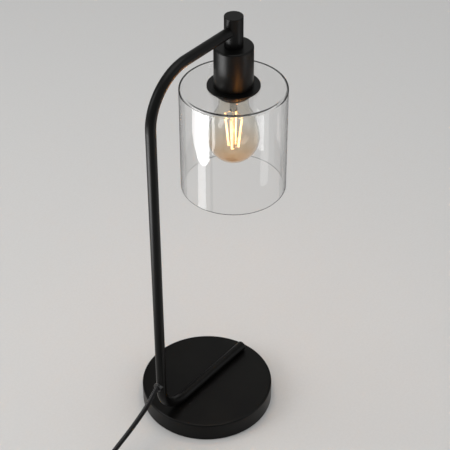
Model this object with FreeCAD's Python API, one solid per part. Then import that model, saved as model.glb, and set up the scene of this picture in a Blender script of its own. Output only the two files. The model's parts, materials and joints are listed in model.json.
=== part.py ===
import FreeCAD, Part
import math
import os
from FreeCAD import Vector

# Table lamp with a bent-tube frame, a clear glass cylinder shade and a filament bulb.
# Millimetres, +Z up. The origin is the centre of the base, on the table.
# +X points from the stem towards the lampholder, which hangs over the far side of the base.

# Base: a pressed cover over a cast weight, on a soft pad
BASE_RADIUS = 75.0
BASE_HEIGHT = 22.5
COVER_WALL = 1.2
COVER_EDGE_RADIUS = 2.2
COVER_LIFT = 0.6
PAD_THICKNESS = 1.5
PAD_INSET = 2.0
WEIGHT_FIT = 0.3
WEIGHT_WEB = 8.0
WEIGHT_RIM = 14.0
WEIGHT_DRAFT = 1.0

# Frame: one tube bent into leg, stem and arm, all in the plane Y = 0
TUBE_RADIUS = 5.5
TUBE_WALL = 1.0
STEM_X = -79.0
LEG_END_FROM_RIM = 9.0
ARM_HEIGHT = 465.5
LOW_BEND_RADIUS = 38.0
HIGH_BEND_RADIUS = 54.0
SEAT_GAP = 0.02
END_PLUG_FLANGE = 1.0
END_PLUG_SPIGOT = 9.0

# Two screws hold the leg down, each in a barrel nut inside the tube
LEG_SCREW_REAR_X = -30.0
LEG_SCREW_FRONT_FROM_RIM = 31.0
SCREW_RADIUS = 2.5
SCREW_HEAD_RADIUS = 4.5
SCREW_HEAD_HEIGHT = 3.0
SCREW_SOCKET_RADIUS = 1.9
SCREW_ENGAGEMENT = 6.0
SCREW_HOLE_CLEARANCE = 0.25
WASHER_RADIUS = 6.5
WASHER_THICKNESS = 1.0
BARREL_NUT_LENGTH = 14.0
SLIDE_FIT = 0.08
THREAD_FIT = 0.05

# Head: a turned post over a spun cup
HEAD_X = 49.0
POST_RADIUS = 9.8
POST_LENGTH = 33.5
POST_CHAMFER = 0.6
POST_TOP_ABOVE_ARM = 15.7
POST_SOCKET_DEPTH = 6.0
WIRE_BORE_RADIUS = 4.0
CUP_RADIUS = 20.5
CUP_HEIGHT = 45.6
CUP_WALL = 1.2
CUP_EDGE_RADIUS = 1.8
CUP_REVEAL = 0.2

# Hollow threaded nipple, washer and nut that hold cup and lampholder to the post
NIPPLE_RADIUS = 5.0
NIPPLE_BORE_RADIUS = 3.4
NIPPLE_IN_POST = 8.0
NIPPLE_IN_HOLDER = 7.5
NIPPLE_NUT_FLATS = 14.0
NIPPLE_NUT_THICKNESS = 3.0
NIPPLE_WASHER_RADIUS = 9.0
NIPPLE_WASHER_THICKNESS = 1.0
NUT_TO_HOLDER_GAP = 0.4

# Lampholder for an E27 screw cap
SLEEVE_RADIUS = 16.9
SLEEVE_WALL = 2.4
SLEEVE_BELOW_GLASS = 9.4
SLEEVE_IN_CAP = 4.5
CAP_RADIUS = 18.7
CAP_WALL = 1.8
CAP_LEDGE = 1.0
CAP_SHOULDER_RADIUS = 5.0
CAP_BOSS_RADIUS = 7.6
CAP_BOSS_DEPTH = 4.0
CORE_THICKNESS = 4.5
CORE_BOSS_RADIUS = 9.5
CORE_BOSS_HEIGHT = 1.8
SHELL_RADIUS = 13.5
SHELL_THICKNESS = 0.4
SHELL_RECESS = 0.8
SHELL_FLANGE_HOLE = 5.0
CONTACT_STRIP_WIDTH = 5.0
CONTACT_STRIP_THICKNESS = 0.5
CONTACT_STRIP_LENGTH = 13.0
CONTACT_DIMPLE_RADIUS = 2.4
SIDE_TAB_WIDTH = 5.0
TERMINAL_OFFSET = 8.0
TERMINAL_WIDTH = 6.0
TERMINAL_HEIGHT = 7.0
TERMINAL_HOLE_RADIUS = 1.35
TERMINAL_SCREW_RADIUS = 1.5
TERMINAL_HEAD_RADIUS = 2.6
TERMINAL_HEAD_HEIGHT = 1.6

# Shade rings, seal and glass
UPPER_RING_RADIUS = 27.7
UPPER_RING_THICKNESS = 1.8
UPPER_RING_EDGE = 0.5
LOWER_RING_RADIUS = 20.0
LOWER_RING_HEIGHT = 6.0
LOWER_RING_GRIPS = 20
GRIP_RADIUS = 0.8
GASKET_THICKNESS = 0.5
GLASS_RADIUS = 56.5
GLASS_WALL = 2.5
GLASS_HEIGHT = 123.2
GLASS_TOP_THICKNESS = 2.8
GLASS_EDGE_RADIUS = 3.4
GLASS_RIM_RADIUS = 0.8
GLASS_HOLE_CLEARANCE = 0.4

# Bulb: pear shape, 55 mm across and 106 mm long, with four filament sticks
BULB_LENGTH = 106.0
BULB_ABOVE_RIM = 33.5
BULB_RADIUS = 27.5
BULB_GLASS = 0.9
BULB_NECK_RADIUS = 15.6
BULB_SHOULDER_DROP = 28.5
BULB_SHOULDER_STEP = 8.0
BULB_COLLAR = 4.0
BULB_CAP_CREST = 13.2
BULB_CAP_ROOT = 12.2
BULB_CAP_PITCH = 3.62
BULB_CAP_TURNS = 5
BULB_CAP_HEIGHT = 24.5
BULB_CAP_SHEET = 0.35
BULB_INSULATOR_HEIGHT = 3.0
BULB_INSULATOR_RADIUS = 8.5
BULB_TIP_RADIUS = 4.6
BULB_TIP_HEIGHT = 1.4
BULB_CONTACT_GAP = 0.1
DRIVER_BOARD_RADIUS = 9.5
DRIVER_BOARD_THICKNESS = 1.0
STEM_FLARE_RADIUS = 11.5
STEM_ROD_RADIUS = 1.6
FILAMENT_COUNT = 4
FILAMENT_RADIUS = 1.1
FILAMENT_LENGTH = 38.0
FILAMENT_TOP_CIRCLE = 9.3
FILAMENT_FOOT_CIRCLE = 5.5
FILAMENT_TOP_BELOW_CAP = 26.5
FILAMENT_PHASE_DEGREES = 21.0
BULB_WIRE_RADIUS = 0.4

# Cord and the bush that it leaves the stem through, on a slant
CORD_RADIUS = 2.7
CORE_WIRE_RADIUS = 1.1
CORE_WIRE_GAP = 0.3
CORE_WIRE_BEND = 3.6
BUSH_SLOPE_DEGREES = 35.0
BUSH_AXIS_HEIGHT = 79.8
BUSH_FLANGE_RADIUS = 5.0
BUSH_FLANGE_THICKNESS = 2.0
BUSH_FLANGE_EDGE = 0.6
BUSH_SHANK_WALL = 0.85
CORD_FIT = 0.05
SHEATH_END_FROM_AXIS = 2.7
BUSH_LEAD_OUT = 13.7

# In-line rocker switch on the cord, lying along Y on the table
SWITCH_X = -186.0
SWITCH_Y = -81.5
SWITCH_LENGTH = 58.0
SWITCH_WIDTH = 27.0
SWITCH_END_WIDTH = 17.0
SWITCH_BOTTOM = 0.2
SWITCH_SPLIT_HEIGHT = 6.5
SWITCH_TOP = 16.0
SWITCH_WALL = 1.8
SWITCH_TOP_RADIUS = 3.5
SWITCH_BOTTOM_RADIUS = 1.2
SWITCH_BAR_LENGTH = 7.5
ROCKER_REACH = 12.2
ROCKER_WIDTH = 11.0
ROCKER_CLEARANCE = 0.4
ROCKER_PIVOT_HEIGHT = 12.0
ROCKER_TILT_DEGREES = 8.0
ROCKER_CREST = 6.3
ROCKER_DIP = 1.4
ROCKER_SHOULDER = 0.6
ROCKER_SKIRT = 2.8
ROCKER_PEG_WIDTH = 2.4
ROCKER_PEG_LENGTH = 6.5
TRUNNION_RADIUS = 1.2
TRUNNION_LENGTH = 1.3
TRUNNION_FIT = 0.06
CHEEK_THICKNESS = 1.6
CHEEK_MARGIN = 1.4
LEAF_THICKNESS = 0.5
LEAF_WIDTH = 6.0
LEAF_GAP = 0.3
SWITCH_TERMINAL_SPACING = 20.0
SWITCH_SCREW_OFFSET = 19.5
SWITCH_SCREW_RADIUS = 1.4
SWITCH_SCREW_HEAD = 2.6
SWITCH_POST_RADIUS = 3.6

# Strain reliefs: ribbed tapers on the cord at the switch and the plug
RELIEF_LENGTH = 22.0
RELIEF_ROOT_RADIUS = 5.0
RELIEF_TIP_RADIUS = 3.6
RELIEF_RIBS = 6
RELIEF_GROOVE = 0.7
STUB_BEYOND_RELIEF = 1.5

# Coil of put-away cord, held by a strap: half turns of each layer, wound in, out, in and out again
COIL_X = -141.4
COIL_Y = -138.2
COIL_OUTER_RADIUS = 35.0
COIL_HALF_TURNS = (4, 3, 3, 3)
COIL_GAP = 0.7
COIL_CLIMB_TUCK = 1.0
CLIMB_STEEPNESS = 1.4
STRAP_WIDTH = 12.0
STRAP_THICKNESS = 1.0
STRAP_CLEARANCE = 0.25
STRAP_LIFT = 0.1

# Two-pin plug, lying flat on the table
PLUG_X = -97.2
PLUG_ROOT_Y = -104.0
PLUG_LENGTH = 34.0
PLUG_WIDTH = 35.0
PLUG_THICKNESS = 13.7
PLUG_NECK_WIDTH = 15.0
PLUG_NECK_THICKNESS = 11.0
PLUG_CORNER_RADIUS = 4.0
PLUG_LIFT = 0.15
PIN_RADIUS = 2.0
PIN_LENGTH = 19.0
PIN_SLEEVE_LENGTH = 10.0
PIN_SLEEVE_RADIUS = 1.75
PIN_SPACING = 18.6
PIN_EMBED = 9.0
PIN_SLEEVE_WALL = 0.5
PIN_TIP_RADIUS = 1.4

# Places that follow from the sizes above
LEG_HEIGHT = BASE_HEIGHT + SEAT_GAP + TUBE_RADIUS
TUBE_BORE = TUBE_RADIUS - TUBE_WALL
COVER_UNDERSIDE = BASE_HEIGHT - COVER_WALL
WEB_UNDERSIDE = COVER_UNDERSIDE - WEIGHT_WEB
LEG_SCREW_XS = (LEG_SCREW_REAR_X, BASE_RADIUS - LEG_SCREW_FRONT_FROM_RIM)
POST_TOP = ARM_HEIGHT + POST_TOP_ABOVE_ARM
CUP_TOP = POST_TOP - POST_LENGTH
CUP_BOTTOM = CUP_TOP - CUP_HEIGHT
UPPER_RING_TOP = CUP_BOTTOM - CUP_REVEAL
GLASS_TOP = UPPER_RING_TOP - UPPER_RING_THICKNESS
GLASS_BOTTOM = GLASS_TOP - GLASS_HEIGHT
GLASS_UNDERSIDE = GLASS_TOP - GLASS_TOP_THICKNESS
LOWER_RING_TOP = GLASS_UNDERSIDE - GASKET_THICKNESS
SLEEVE_BOTTOM = GLASS_UNDERSIDE - SLEEVE_BELOW_GLASS
CUP_CEILING = CUP_TOP - CUP_WALL
NUT_TOP = CUP_CEILING - NIPPLE_WASHER_THICKNESS
CAP_TOP = NUT_TOP - NIPPLE_NUT_THICKNESS - NUT_TO_HOLDER_GAP
BULB_TIP = GLASS_BOTTOM + BULB_ABOVE_RIM + BULB_LENGTH
CENTRE_CONTACT_FACE = BULB_TIP + BULB_CONTACT_GAP
CORE_BOSS_FACE = CENTRE_CONTACT_FACE + CONTACT_STRIP_THICKNESS + SHELL_THICKNESS
CORE_BOTTOM = CORE_BOSS_FACE + CORE_BOSS_HEIGHT
CORE_TOP = CORE_BOTTOM + CORE_THICKNESS
SLEEVE_TOP = CORE_BOTTOM
CAP_BOTTOM = SLEEVE_TOP - SLEEVE_IN_CAP
CORD_AXIS_ON_TABLE = CORD_RADIUS + 0.05
BUSH_SLOPE = math.radians(BUSH_SLOPE_DEGREES)
LEG_END_X = BASE_RADIUS - LEG_END_FROM_RIM
COIL_STEP = 2 * CORD_RADIUS + COIL_GAP
COIL_LOW_Z = STRAP_LIFT + STRAP_THICKNESS + STRAP_CLEARANCE + CORD_RADIUS
COIL_HIGH_Z = COIL_LOW_Z + COIL_STEP * (len(COIL_HALF_TURNS) - 1)
PLUG_AXIS = PLUG_LIFT + PLUG_THICKNESS / 2


def vec(x, y, z):
    return Vector(x, y, z)


def save(shape, node):
    shape.exportStep("parts/" + node + ".step")
    print(node, "solids", len(shape.Solids), "volume", round(shape.Volume, 1), "valid", shape.isValid())


def fused(shapes):
    result = shapes[0]
    for shape in shapes[1:]:
        result = result.fuse(shape)
    return result.removeSplitter()


def rod(start, direction, length, radius):
    return Part.makeCylinder(radius, length, start, direction)


def box_between(low, high):
    return Part.makeBox(high[0] - low[0], high[1] - low[1], high[2] - low[2], vec(*low))


# An outline is a closed list of (radius, height, corner radius); corners are rounded by tangent arcs
def rounded_wire(outline, place):
    count = len(outline)
    corners = []
    for index, (across, along, corner_radius) in enumerate(outline):
        here = Vector(across, along, 0)
        if corner_radius <= 0:
            corners.append((here, None, here))
            continue
        before = Vector(outline[index - 1][0], outline[index - 1][1], 0) - here
        after = Vector(outline[(index + 1) % count][0], outline[(index + 1) % count][1], 0) - here
        half_angle = before.getAngle(after) / 2
        cut_back = corner_radius / math.tan(half_angle)
        before.normalize()
        after.normalize()
        bisector = before + after
        bisector.normalize()
        centre = here + bisector * (corner_radius / math.sin(half_angle))
        corners.append((here + before * cut_back, centre - bisector * corner_radius, here + after * cut_back))
    edges = []
    for index, (arc_start, arc_middle, arc_end) in enumerate(corners):
        if arc_middle is not None:
            edges.append(Part.Arc(place(arc_start), place(arc_middle), place(arc_end)).toShape())
        next_start = corners[(index + 1) % count][0]
        if arc_end.distanceToPoint(next_start) > 1e-6:
            edges.append(Part.LineSegment(place(arc_end), place(next_start)).toShape())
    return Part.Wire(edges)


def turned(outline, axis_x=0.0, axis_y=0.0):
    wire = rounded_wire(outline, lambda point: vec(axis_x + point.x, axis_y, point.y))
    return Part.Face(wire).revolve(vec(axis_x, axis_y, 0), vec(0, 0, 1), 360)


def turned_along(outline, start, direction):
    solid = turned(outline)
    turn = FreeCAD.Rotation(vec(0, 0, 1), direction)
    solid.Placement = FreeCAD.Placement(start, turn)
    return solid


# Routes: straight runs joined by tangent arcs as large as the runs allow
def route_wire(points, label):
    count = len(points)
    edges = []
    radii = []
    last = points[0]
    for index in range(1, count - 1):
        before = points[index - 1] - points[index]
        after = points[index + 1] - points[index]
        half_turn = (math.pi - before.getAngle(after)) / 2
        cut_back = 0.45 * min(before.Length, after.Length)
        radii.append(cut_back / math.tan(half_turn))
        before.normalize()
        after.normalize()
        start = points[index] + before * cut_back
        end = points[index] + after * cut_back
        inward = before + after
        inward.normalize()
        sagitta = cut_back * (1 - math.sin(half_turn)) / math.cos(half_turn)
        chord_middle = (start + end) * 0.5
        middle = chord_middle - inward * (radii[-1] * (1 - math.cos(half_turn)))
        edges.append(Part.LineSegment(last, start).toShape())
        edges.append(Part.Arc(start, middle, end).toShape())
        last = end
    edges.append(Part.LineSegment(last, points[-1]).toShape())
    print(label, "bend radii", [round(radius, 1) for radius in radii])
    return Part.Wire(edges)


def swept_tube(wire, radius, label):
    edge = wire.OrderedEdges[0]
    start = edge.valueAt(edge.FirstParameter)
    along = edge.tangentAt(edge.FirstParameter)
    if start.distanceToPoint(wire.OrderedVertexes[0].Point) > 1e-6:
        start = edge.valueAt(edge.LastParameter)
        along = edge.tangentAt(edge.LastParameter) * -1
    circle = Part.Wire(Part.Circle(start, along, radius).toShape())
    tube = wire.makePipeShell([circle], True, False)
    expected = math.pi * radius * radius * wire.Length
    print(label, "length", round(wire.Length, 1), "volume over section times length",
          round(tube.Volume / expected, 4))
    return tube


# A biarc joins two points with given directions by two tangent arcs of like size
def biarc(start, start_way, end, end_way):
    chord = end - start
    ways = start_way + end_way
    spread = 2 * (1 - start_way.dot(end_way))
    along = chord.dot(ways)
    if spread < 1e-9:
        reach = chord.dot(chord) / (2 * along)
    else:
        reach = (math.sqrt(along * along + spread * chord.dot(chord)) - along) / spread
    first_corner = start + start_way * reach
    second_corner = end - end_way * reach
    joint = (first_corner + second_corner) * 0.5
    return [tangent_arc(start, first_corner, joint), tangent_arc(joint, second_corner, end)]


def tangent_arc(start, corner, end):
    chord_middle = (start + end) * 0.5
    outward = corner - chord_middle
    half_chord = (end - start).Length / 2
    if outward.Length < 1e-6:
        return Part.LineSegment(start, end).toShape()
    half_turn = math.atan2(outward.Length, half_chord)
    outward.normalize()
    middle = chord_middle + outward * (half_chord * math.tan(half_turn / 2))
    return Part.Arc(start, middle, end).toShape()


# Base
def base_cover():
    inner = BASE_RADIUS - COVER_WALL
    shell = turned([(0, BASE_HEIGHT, 0), (BASE_RADIUS, BASE_HEIGHT, COVER_EDGE_RADIUS),
                    (BASE_RADIUS, COVER_LIFT, 0.4), (inner, COVER_LIFT, 0.4),
                    (inner, COVER_UNDERSIDE, COVER_EDGE_RADIUS - COVER_WALL), (0, COVER_UNDERSIDE, 0)])
    return shell.cut(screw_holes(COVER_UNDERSIDE - 1, BASE_HEIGHT + 1))


def screw_holes(bottom, top):
    radius = SCREW_RADIUS + SCREW_HOLE_CLEARANCE
    return Part.makeCompound([rod(vec(x, 0, bottom), vec(0, 0, 1), top - bottom, radius) for x in LEG_SCREW_XS])


def base_weight():
    rim = BASE_RADIUS - COVER_WALL - WEIGHT_FIT
    pocket = rim - WEIGHT_RIM
    casting = turned([(0, COVER_UNDERSIDE, 0), (rim, COVER_UNDERSIDE, COVER_EDGE_RADIUS),
                      (rim, PAD_THICKNESS, 1.0), (pocket, PAD_THICKNESS, 1.0),
                      (pocket - WEIGHT_DRAFT, WEB_UNDERSIDE, 2.0), (0, WEB_UNDERSIDE, 0)])
    return casting.cut(screw_holes(WEB_UNDERSIDE - 1, COVER_UNDERSIDE + 1))


def base_pad():
    return turned([(0, 0, 0), (BASE_RADIUS - PAD_INSET, 0, 0.3),
                   (BASE_RADIUS - PAD_INSET, PAD_THICKNESS, 0), (0, PAD_THICKNESS, 0)])


def base_washers():
    rings = []
    for x in LEG_SCREW_XS:
        bottom = WEB_UNDERSIDE - WASHER_THICKNESS
        hole = SCREW_RADIUS + SCREW_HOLE_CLEARANCE
        rings.append(turned([(hole, bottom, 0), (WASHER_RADIUS, bottom, 0), (WASHER_RADIUS, WEB_UNDERSIDE, 0),
                             (hole, WEB_UNDERSIDE, 0)], x))
    return Part.makeCompound(rings)


def base_screws():
    screws = []
    under_head = WEB_UNDERSIDE - WASHER_THICKNESS
    head_bottom = under_head - SCREW_HEAD_HEIGHT
    tip = LEG_HEIGHT - TUBE_BORE + SCREW_ENGAGEMENT
    shank = SCREW_RADIUS - THREAD_FIT
    for x in LEG_SCREW_XS:
        screw = turned([(0, head_bottom, 0), (SCREW_HEAD_RADIUS, head_bottom, 0.8),
                        (SCREW_HEAD_RADIUS, under_head, 0), (shank, under_head, 0), (shank, tip, 0.5),
                        (0, tip, 0)], x)
        socket = Part.Face(Part.makePolygon([vec(x + SCREW_SOCKET_RADIUS * math.cos(math.pi * side / 3),
                                                 SCREW_SOCKET_RADIUS * math.sin(math.pi * side / 3),
                                                 head_bottom) for side in range(7)]))
        screws.append(screw.cut(socket.extrude(vec(0, 0, SCREW_HEAD_HEIGHT * 0.6))))
    return Part.makeCompound(screws)


# Frame
def frame_path():
    lean_x = STEM_X + LOW_BEND_RADIUS
    turn_x = STEM_X + HIGH_BEND_RADIUS
    diagonal = math.sqrt(0.5)
    low_middle = vec(lean_x - LOW_BEND_RADIUS * diagonal, 0, LEG_HEIGHT + LOW_BEND_RADIUS * (1 - diagonal))
    high_middle = vec(turn_x - HIGH_BEND_RADIUS * diagonal, 0, ARM_HEIGHT - HIGH_BEND_RADIUS * (1 - diagonal))
    leg_start = vec(LEG_END_X - END_PLUG_FLANGE, 0, LEG_HEIGHT)
    leg_end = vec(lean_x, 0, LEG_HEIGHT)
    stem_start = vec(STEM_X, 0, LEG_HEIGHT + LOW_BEND_RADIUS)
    stem_end = vec(STEM_X, 0, ARM_HEIGHT - HIGH_BEND_RADIUS)
    arm_start = vec(turn_x, 0, ARM_HEIGHT)
    arm_end = vec(HEAD_X - POST_RADIUS + POST_SOCKET_DEPTH, 0, ARM_HEIGHT)
    return Part.Wire([Part.LineSegment(leg_start, leg_end).toShape(),
                      Part.Arc(leg_end, low_middle, stem_start).toShape(),
                      Part.LineSegment(stem_start, stem_end).toShape(),
                      Part.Arc(stem_end, high_middle, arm_start).toShape(),
                      Part.LineSegment(arm_start, arm_end).toShape()])


def frame_tube():
    path = frame_path()
    outside = swept_tube(path, TUBE_RADIUS, "frame_tube outside")
    inside = swept_tube(path, TUBE_BORE, "frame_tube bore")
    tube = outside.cut(inside)
    hole = SCREW_RADIUS + SCREW_HOLE_CLEARANCE
    for x in LEG_SCREW_XS:
        tube = tube.cut(rod(vec(x, 0, LEG_HEIGHT - TUBE_RADIUS - 1), vec(0, 0, 1), TUBE_RADIUS, hole))
    return tube.cut(bush_shank(SLIDE_FIT))


def leg_nuts():
    nuts = []
    for x in LEG_SCREW_XS:
        barrel = rod(vec(x - BARREL_NUT_LENGTH / 2, 0, LEG_HEIGHT), vec(1, 0, 0), BARREL_NUT_LENGTH,
                     TUBE_BORE - SLIDE_FIT)
        thread = rod(vec(x, 0, LEG_HEIGHT - TUBE_RADIUS), vec(0, 0, 1), 2 * TUBE_RADIUS, SCREW_RADIUS)
        nuts.append(barrel.cut(thread))
    return Part.makeCompound(nuts)


def leg_end_plug():
    spigot = TUBE_BORE - SLIDE_FIT
    outline = [(0, 0, 0), (spigot, 0, 0.6), (spigot, END_PLUG_SPIGOT, 0), (TUBE_RADIUS, END_PLUG_SPIGOT, 0),
               (TUBE_RADIUS, END_PLUG_SPIGOT + END_PLUG_FLANGE, 0.5), (0, END_PLUG_SPIGOT + END_PLUG_FLANGE, 0)]
    start = vec(LEG_END_X - END_PLUG_FLANGE - END_PLUG_SPIGOT, 0, LEG_HEIGHT)
    return turned_along(outline, start, vec(1, 0, 0))


# The cord leaves the stem downwards and backwards, along the bush's slanted axis
def bush_point(distance):
    return vec(STEM_X - distance * math.cos(BUSH_SLOPE), 0, BUSH_AXIS_HEIGHT - distance * math.sin(BUSH_SLOPE))


def bush_shank(extra):
    radius = CORD_RADIUS + CORD_FIT + BUSH_SHANK_WALL + extra
    outward = bush_point(1) - bush_point(0)
    start = bush_point(SHEATH_END_FROM_AXIS)
    return rod(start, outward, 2 * TUBE_RADIUS, radius)


def cord_bush():
    face_x = STEM_X - TUBE_RADIUS - BUSH_FLANGE_THICKNESS
    flange_height = BUSH_AXIS_HEIGHT - (STEM_X - face_x) * math.tan(BUSH_SLOPE)
    outline = [(0, 0, 0), (BUSH_FLANGE_RADIUS, 0, BUSH_FLANGE_EDGE),
               (BUSH_FLANGE_RADIUS, TUBE_RADIUS + BUSH_FLANGE_THICKNESS, 0),
               (0, TUBE_RADIUS + BUSH_FLANGE_THICKNESS, 0)]
    flange = turned_along(outline, vec(face_x, 0, flange_height), vec(1, 0, 0))
    stem = rod(vec(STEM_X, 0, flange_height - 20), vec(0, 0, 1), 40, TUBE_RADIUS + SEAT_GAP)
    inner_half = box_between((STEM_X, -20, flange_height - 20), (STEM_X + 20, 20, flange_height + 20))
    flange = flange.cut(stem).cut(inner_half)
    shank = bush_shank(0).common(rod(vec(STEM_X, 0, flange_height - 20), vec(0, 0, 1), 40, TUBE_RADIUS + 1.0))
    outward = bush_point(1) - bush_point(0)
    bore = rod(bush_point(-5), outward, 30, CORD_RADIUS + CORD_FIT)
    return fused([flange, shank]).cut(bore)


# Head
def head_post():
    body = turned([(0, CUP_TOP, 0), (POST_RADIUS, CUP_TOP, POST_CHAMFER), (POST_RADIUS, POST_TOP, POST_CHAMFER),
                   (0, POST_TOP, 0)], HEAD_X)
    socket_end = HEAD_X - POST_RADIUS + POST_SOCKET_DEPTH
    socket = rod(vec(socket_end, 0, ARM_HEIGHT), vec(-1, 0, 0), 2 * POST_RADIUS, TUBE_RADIUS + SEAT_GAP)
    cross_bore = rod(vec(HEAD_X, 0, ARM_HEIGHT), vec(-1, 0, 0), POST_RADIUS, WIRE_BORE_RADIUS)
    wire_bore = rod(vec(HEAD_X, 0, CUP_TOP), vec(0, 0, 1), ARM_HEIGHT - CUP_TOP, WIRE_BORE_RADIUS)
    turn_room = Part.makeSphere(WIRE_BORE_RADIUS, vec(HEAD_X, 0, ARM_HEIGHT))
    thread = rod(vec(HEAD_X, 0, CUP_TOP), vec(0, 0, 1), NIPPLE_IN_POST + 0.5, NIPPLE_RADIUS + THREAD_FIT)
    return body.cut(socket).cut(cross_bore).cut(wire_bore).cut(turn_room).cut(thread)


def hollow_nipple():
    bottom = CAP_TOP - NIPPLE_IN_HOLDER
    top = CUP_TOP + NIPPLE_IN_POST
    return turned([(NIPPLE_BORE_RADIUS, bottom, 0), (NIPPLE_RADIUS, bottom, 0.4), (NIPPLE_RADIUS, top, 0.4),
                   (NIPPLE_BORE_RADIUS, top, 0)], HEAD_X)


def holder_cup():
    hole = NIPPLE_RADIUS + 0.2
    inner = CUP_RADIUS - CUP_WALL
    return turned([(hole, CUP_TOP, 0), (CUP_RADIUS, CUP_TOP, CUP_EDGE_RADIUS), (CUP_RADIUS, CUP_BOTTOM, 0.3),
                   (inner, CUP_BOTTOM, 0.3), (inner, CUP_CEILING, CUP_EDGE_RADIUS - CUP_WALL),
                   (hole, CUP_CEILING, 0)], HEAD_X)


def nipple_washer():
    hole = NIPPLE_RADIUS + 0.2
    return turned([(hole, NUT_TOP, 0), (NIPPLE_WASHER_RADIUS, NUT_TOP, 0.2),
                   (NIPPLE_WASHER_RADIUS, CUP_CEILING, 0.2), (hole, CUP_CEILING, 0)], HEAD_X)


def nipple_nut():
    corner = NIPPLE_NUT_FLATS / math.sqrt(3)
    bottom = NUT_TOP - NIPPLE_NUT_THICKNESS
    hexagon = Part.makePolygon([vec(HEAD_X + corner * math.cos(math.pi * side / 3),
                                    corner * math.sin(math.pi * side / 3), bottom) for side in range(7)])
    blank = Part.Face(hexagon).extrude(vec(0, 0, NIPPLE_NUT_THICKNESS))
    chamfer = turned([(0, bottom - 0.01, 0), (corner - 0.7, bottom - 0.01, 0), (corner + 0.2, bottom + 0.7, 0),
                      (corner + 0.2, NUT_TOP, 0), (0, NUT_TOP, 0)], HEAD_X)
    thread = rod(vec(HEAD_X, 0, bottom - 1), vec(0, 0, 1), NIPPLE_NUT_THICKNESS + 2, NIPPLE_RADIUS + THREAD_FIT)
    return blank.common(chamfer).cut(thread)


# Lampholder
def holder_cap():
    hole = NIPPLE_RADIUS + THREAD_FIT
    rim_bore = SLEEVE_RADIUS + THREAD_FIT
    inner = SLEEVE_RADIUS - CAP_LEDGE
    ledge = CORE_TOP + 0.1
    ceiling = CAP_TOP - CAP_WALL
    return turned([(hole, CAP_TOP, 0), (CAP_RADIUS, CAP_TOP, CAP_SHOULDER_RADIUS), (CAP_RADIUS, CAP_BOTTOM, 0.3),
                   (rim_bore, CAP_BOTTOM, 0), (rim_bore, ledge, 0), (inner, ledge, 0),
                   (inner, ceiling, CAP_SHOULDER_RADIUS - CAP_WALL), (CAP_BOSS_RADIUS, ceiling, 0),
                   (CAP_BOSS_RADIUS, ceiling - CAP_BOSS_DEPTH, 0.4), (hole, ceiling - CAP_BOSS_DEPTH, 0)], HEAD_X)


def holder_sleeve():
    inner = SLEEVE_RADIUS - SLEEVE_WALL
    return turned([(inner, SLEEVE_BOTTOM, 0.4), (SLEEVE_RADIUS, SLEEVE_BOTTOM, 0.6), (SLEEVE_RADIUS, SLEEVE_TOP, 0),
                   (inner, SLEEVE_TOP, 0)], HEAD_X)


def holder_core():
    radius = SLEEVE_RADIUS - 0.1
    core = turned([(0, CORE_BOSS_FACE, 0), (CORE_BOSS_RADIUS, CORE_BOSS_FACE, 0.3),
                   (CORE_BOSS_RADIUS, CORE_BOTTOM, 0), (radius, CORE_BOTTOM, 0.3), (radius, CORE_TOP, 0.3),
                   (0, CORE_TOP, 0)], HEAD_X)
    for side in (-1, 1):
        rivet_hole = rod(vec(HEAD_X, side * TERMINAL_OFFSET, CORE_BOSS_FACE - 1), vec(0, 0, 1), 20, 0.9)
        core = core.cut(rivet_hole)
    return core


def screw_shell():
    outer = SHELL_RADIUS + SHELL_THICKNESS
    top = CORE_BOSS_FACE
    bottom = SLEEVE_BOTTOM + SHELL_RECESS
    return turned([(SHELL_RADIUS, bottom, 0), (outer, bottom, 0), (outer, top, 0.3), (SHELL_FLANGE_HOLE, top, 0),
                   (SHELL_FLANGE_HOLE, top - SHELL_THICKNESS, 0), (SHELL_RADIUS, top - SHELL_THICKNESS, 0)], HEAD_X)


def centre_contact():
    half = CONTACT_STRIP_WIDTH / 2
    top = CORE_BOSS_FACE - SHELL_THICKNESS
    bottom = top - CONTACT_STRIP_THICKNESS
    reach = SHELL_FLANGE_HOLE - 0.6
    tongue = box_between((HEAD_X - reach, -half, bottom), (HEAD_X + reach, half, top))
    tongue = tongue.common(rod(vec(HEAD_X, 0, bottom), vec(0, 0, 1), CONTACT_STRIP_THICKNESS, reach))
    foot = rod(vec(HEAD_X, 0, top), vec(0, 0, 1), SHELL_THICKNESS, CONTACT_DIMPLE_RADIUS)
    return fused([tongue, foot])


def side_contact():
    half = SIDE_TAB_WIDTH / 2
    outer = SHELL_RADIUS + SHELL_THICKNESS
    inner_wall = SLEEVE_RADIUS - SLEEVE_WALL
    strip = box_between((HEAD_X + CORE_BOSS_RADIUS + 0.1, -half, CORE_BOSS_FACE),
                        (HEAD_X + inner_wall - 0.1, half, CORE_BOSS_FACE + CONTACT_STRIP_THICKNESS))
    bound = rod(vec(HEAD_X, 0, CORE_BOSS_FACE - 20), vec(0, 0, 1), 40, inner_wall - 0.02)
    tab = box_between((HEAD_X + outer + 0.02, -half, CORE_BOSS_FACE - 6), (HEAD_X + inner_wall, half, CORE_BOSS_FACE))
    hollow = rod(vec(HEAD_X, 0, CORE_BOSS_FACE - 20), vec(0, 0, 1), 20, outer + 0.02)
    return fused([strip.common(bound), tab.common(bound).cut(hollow)])


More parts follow.
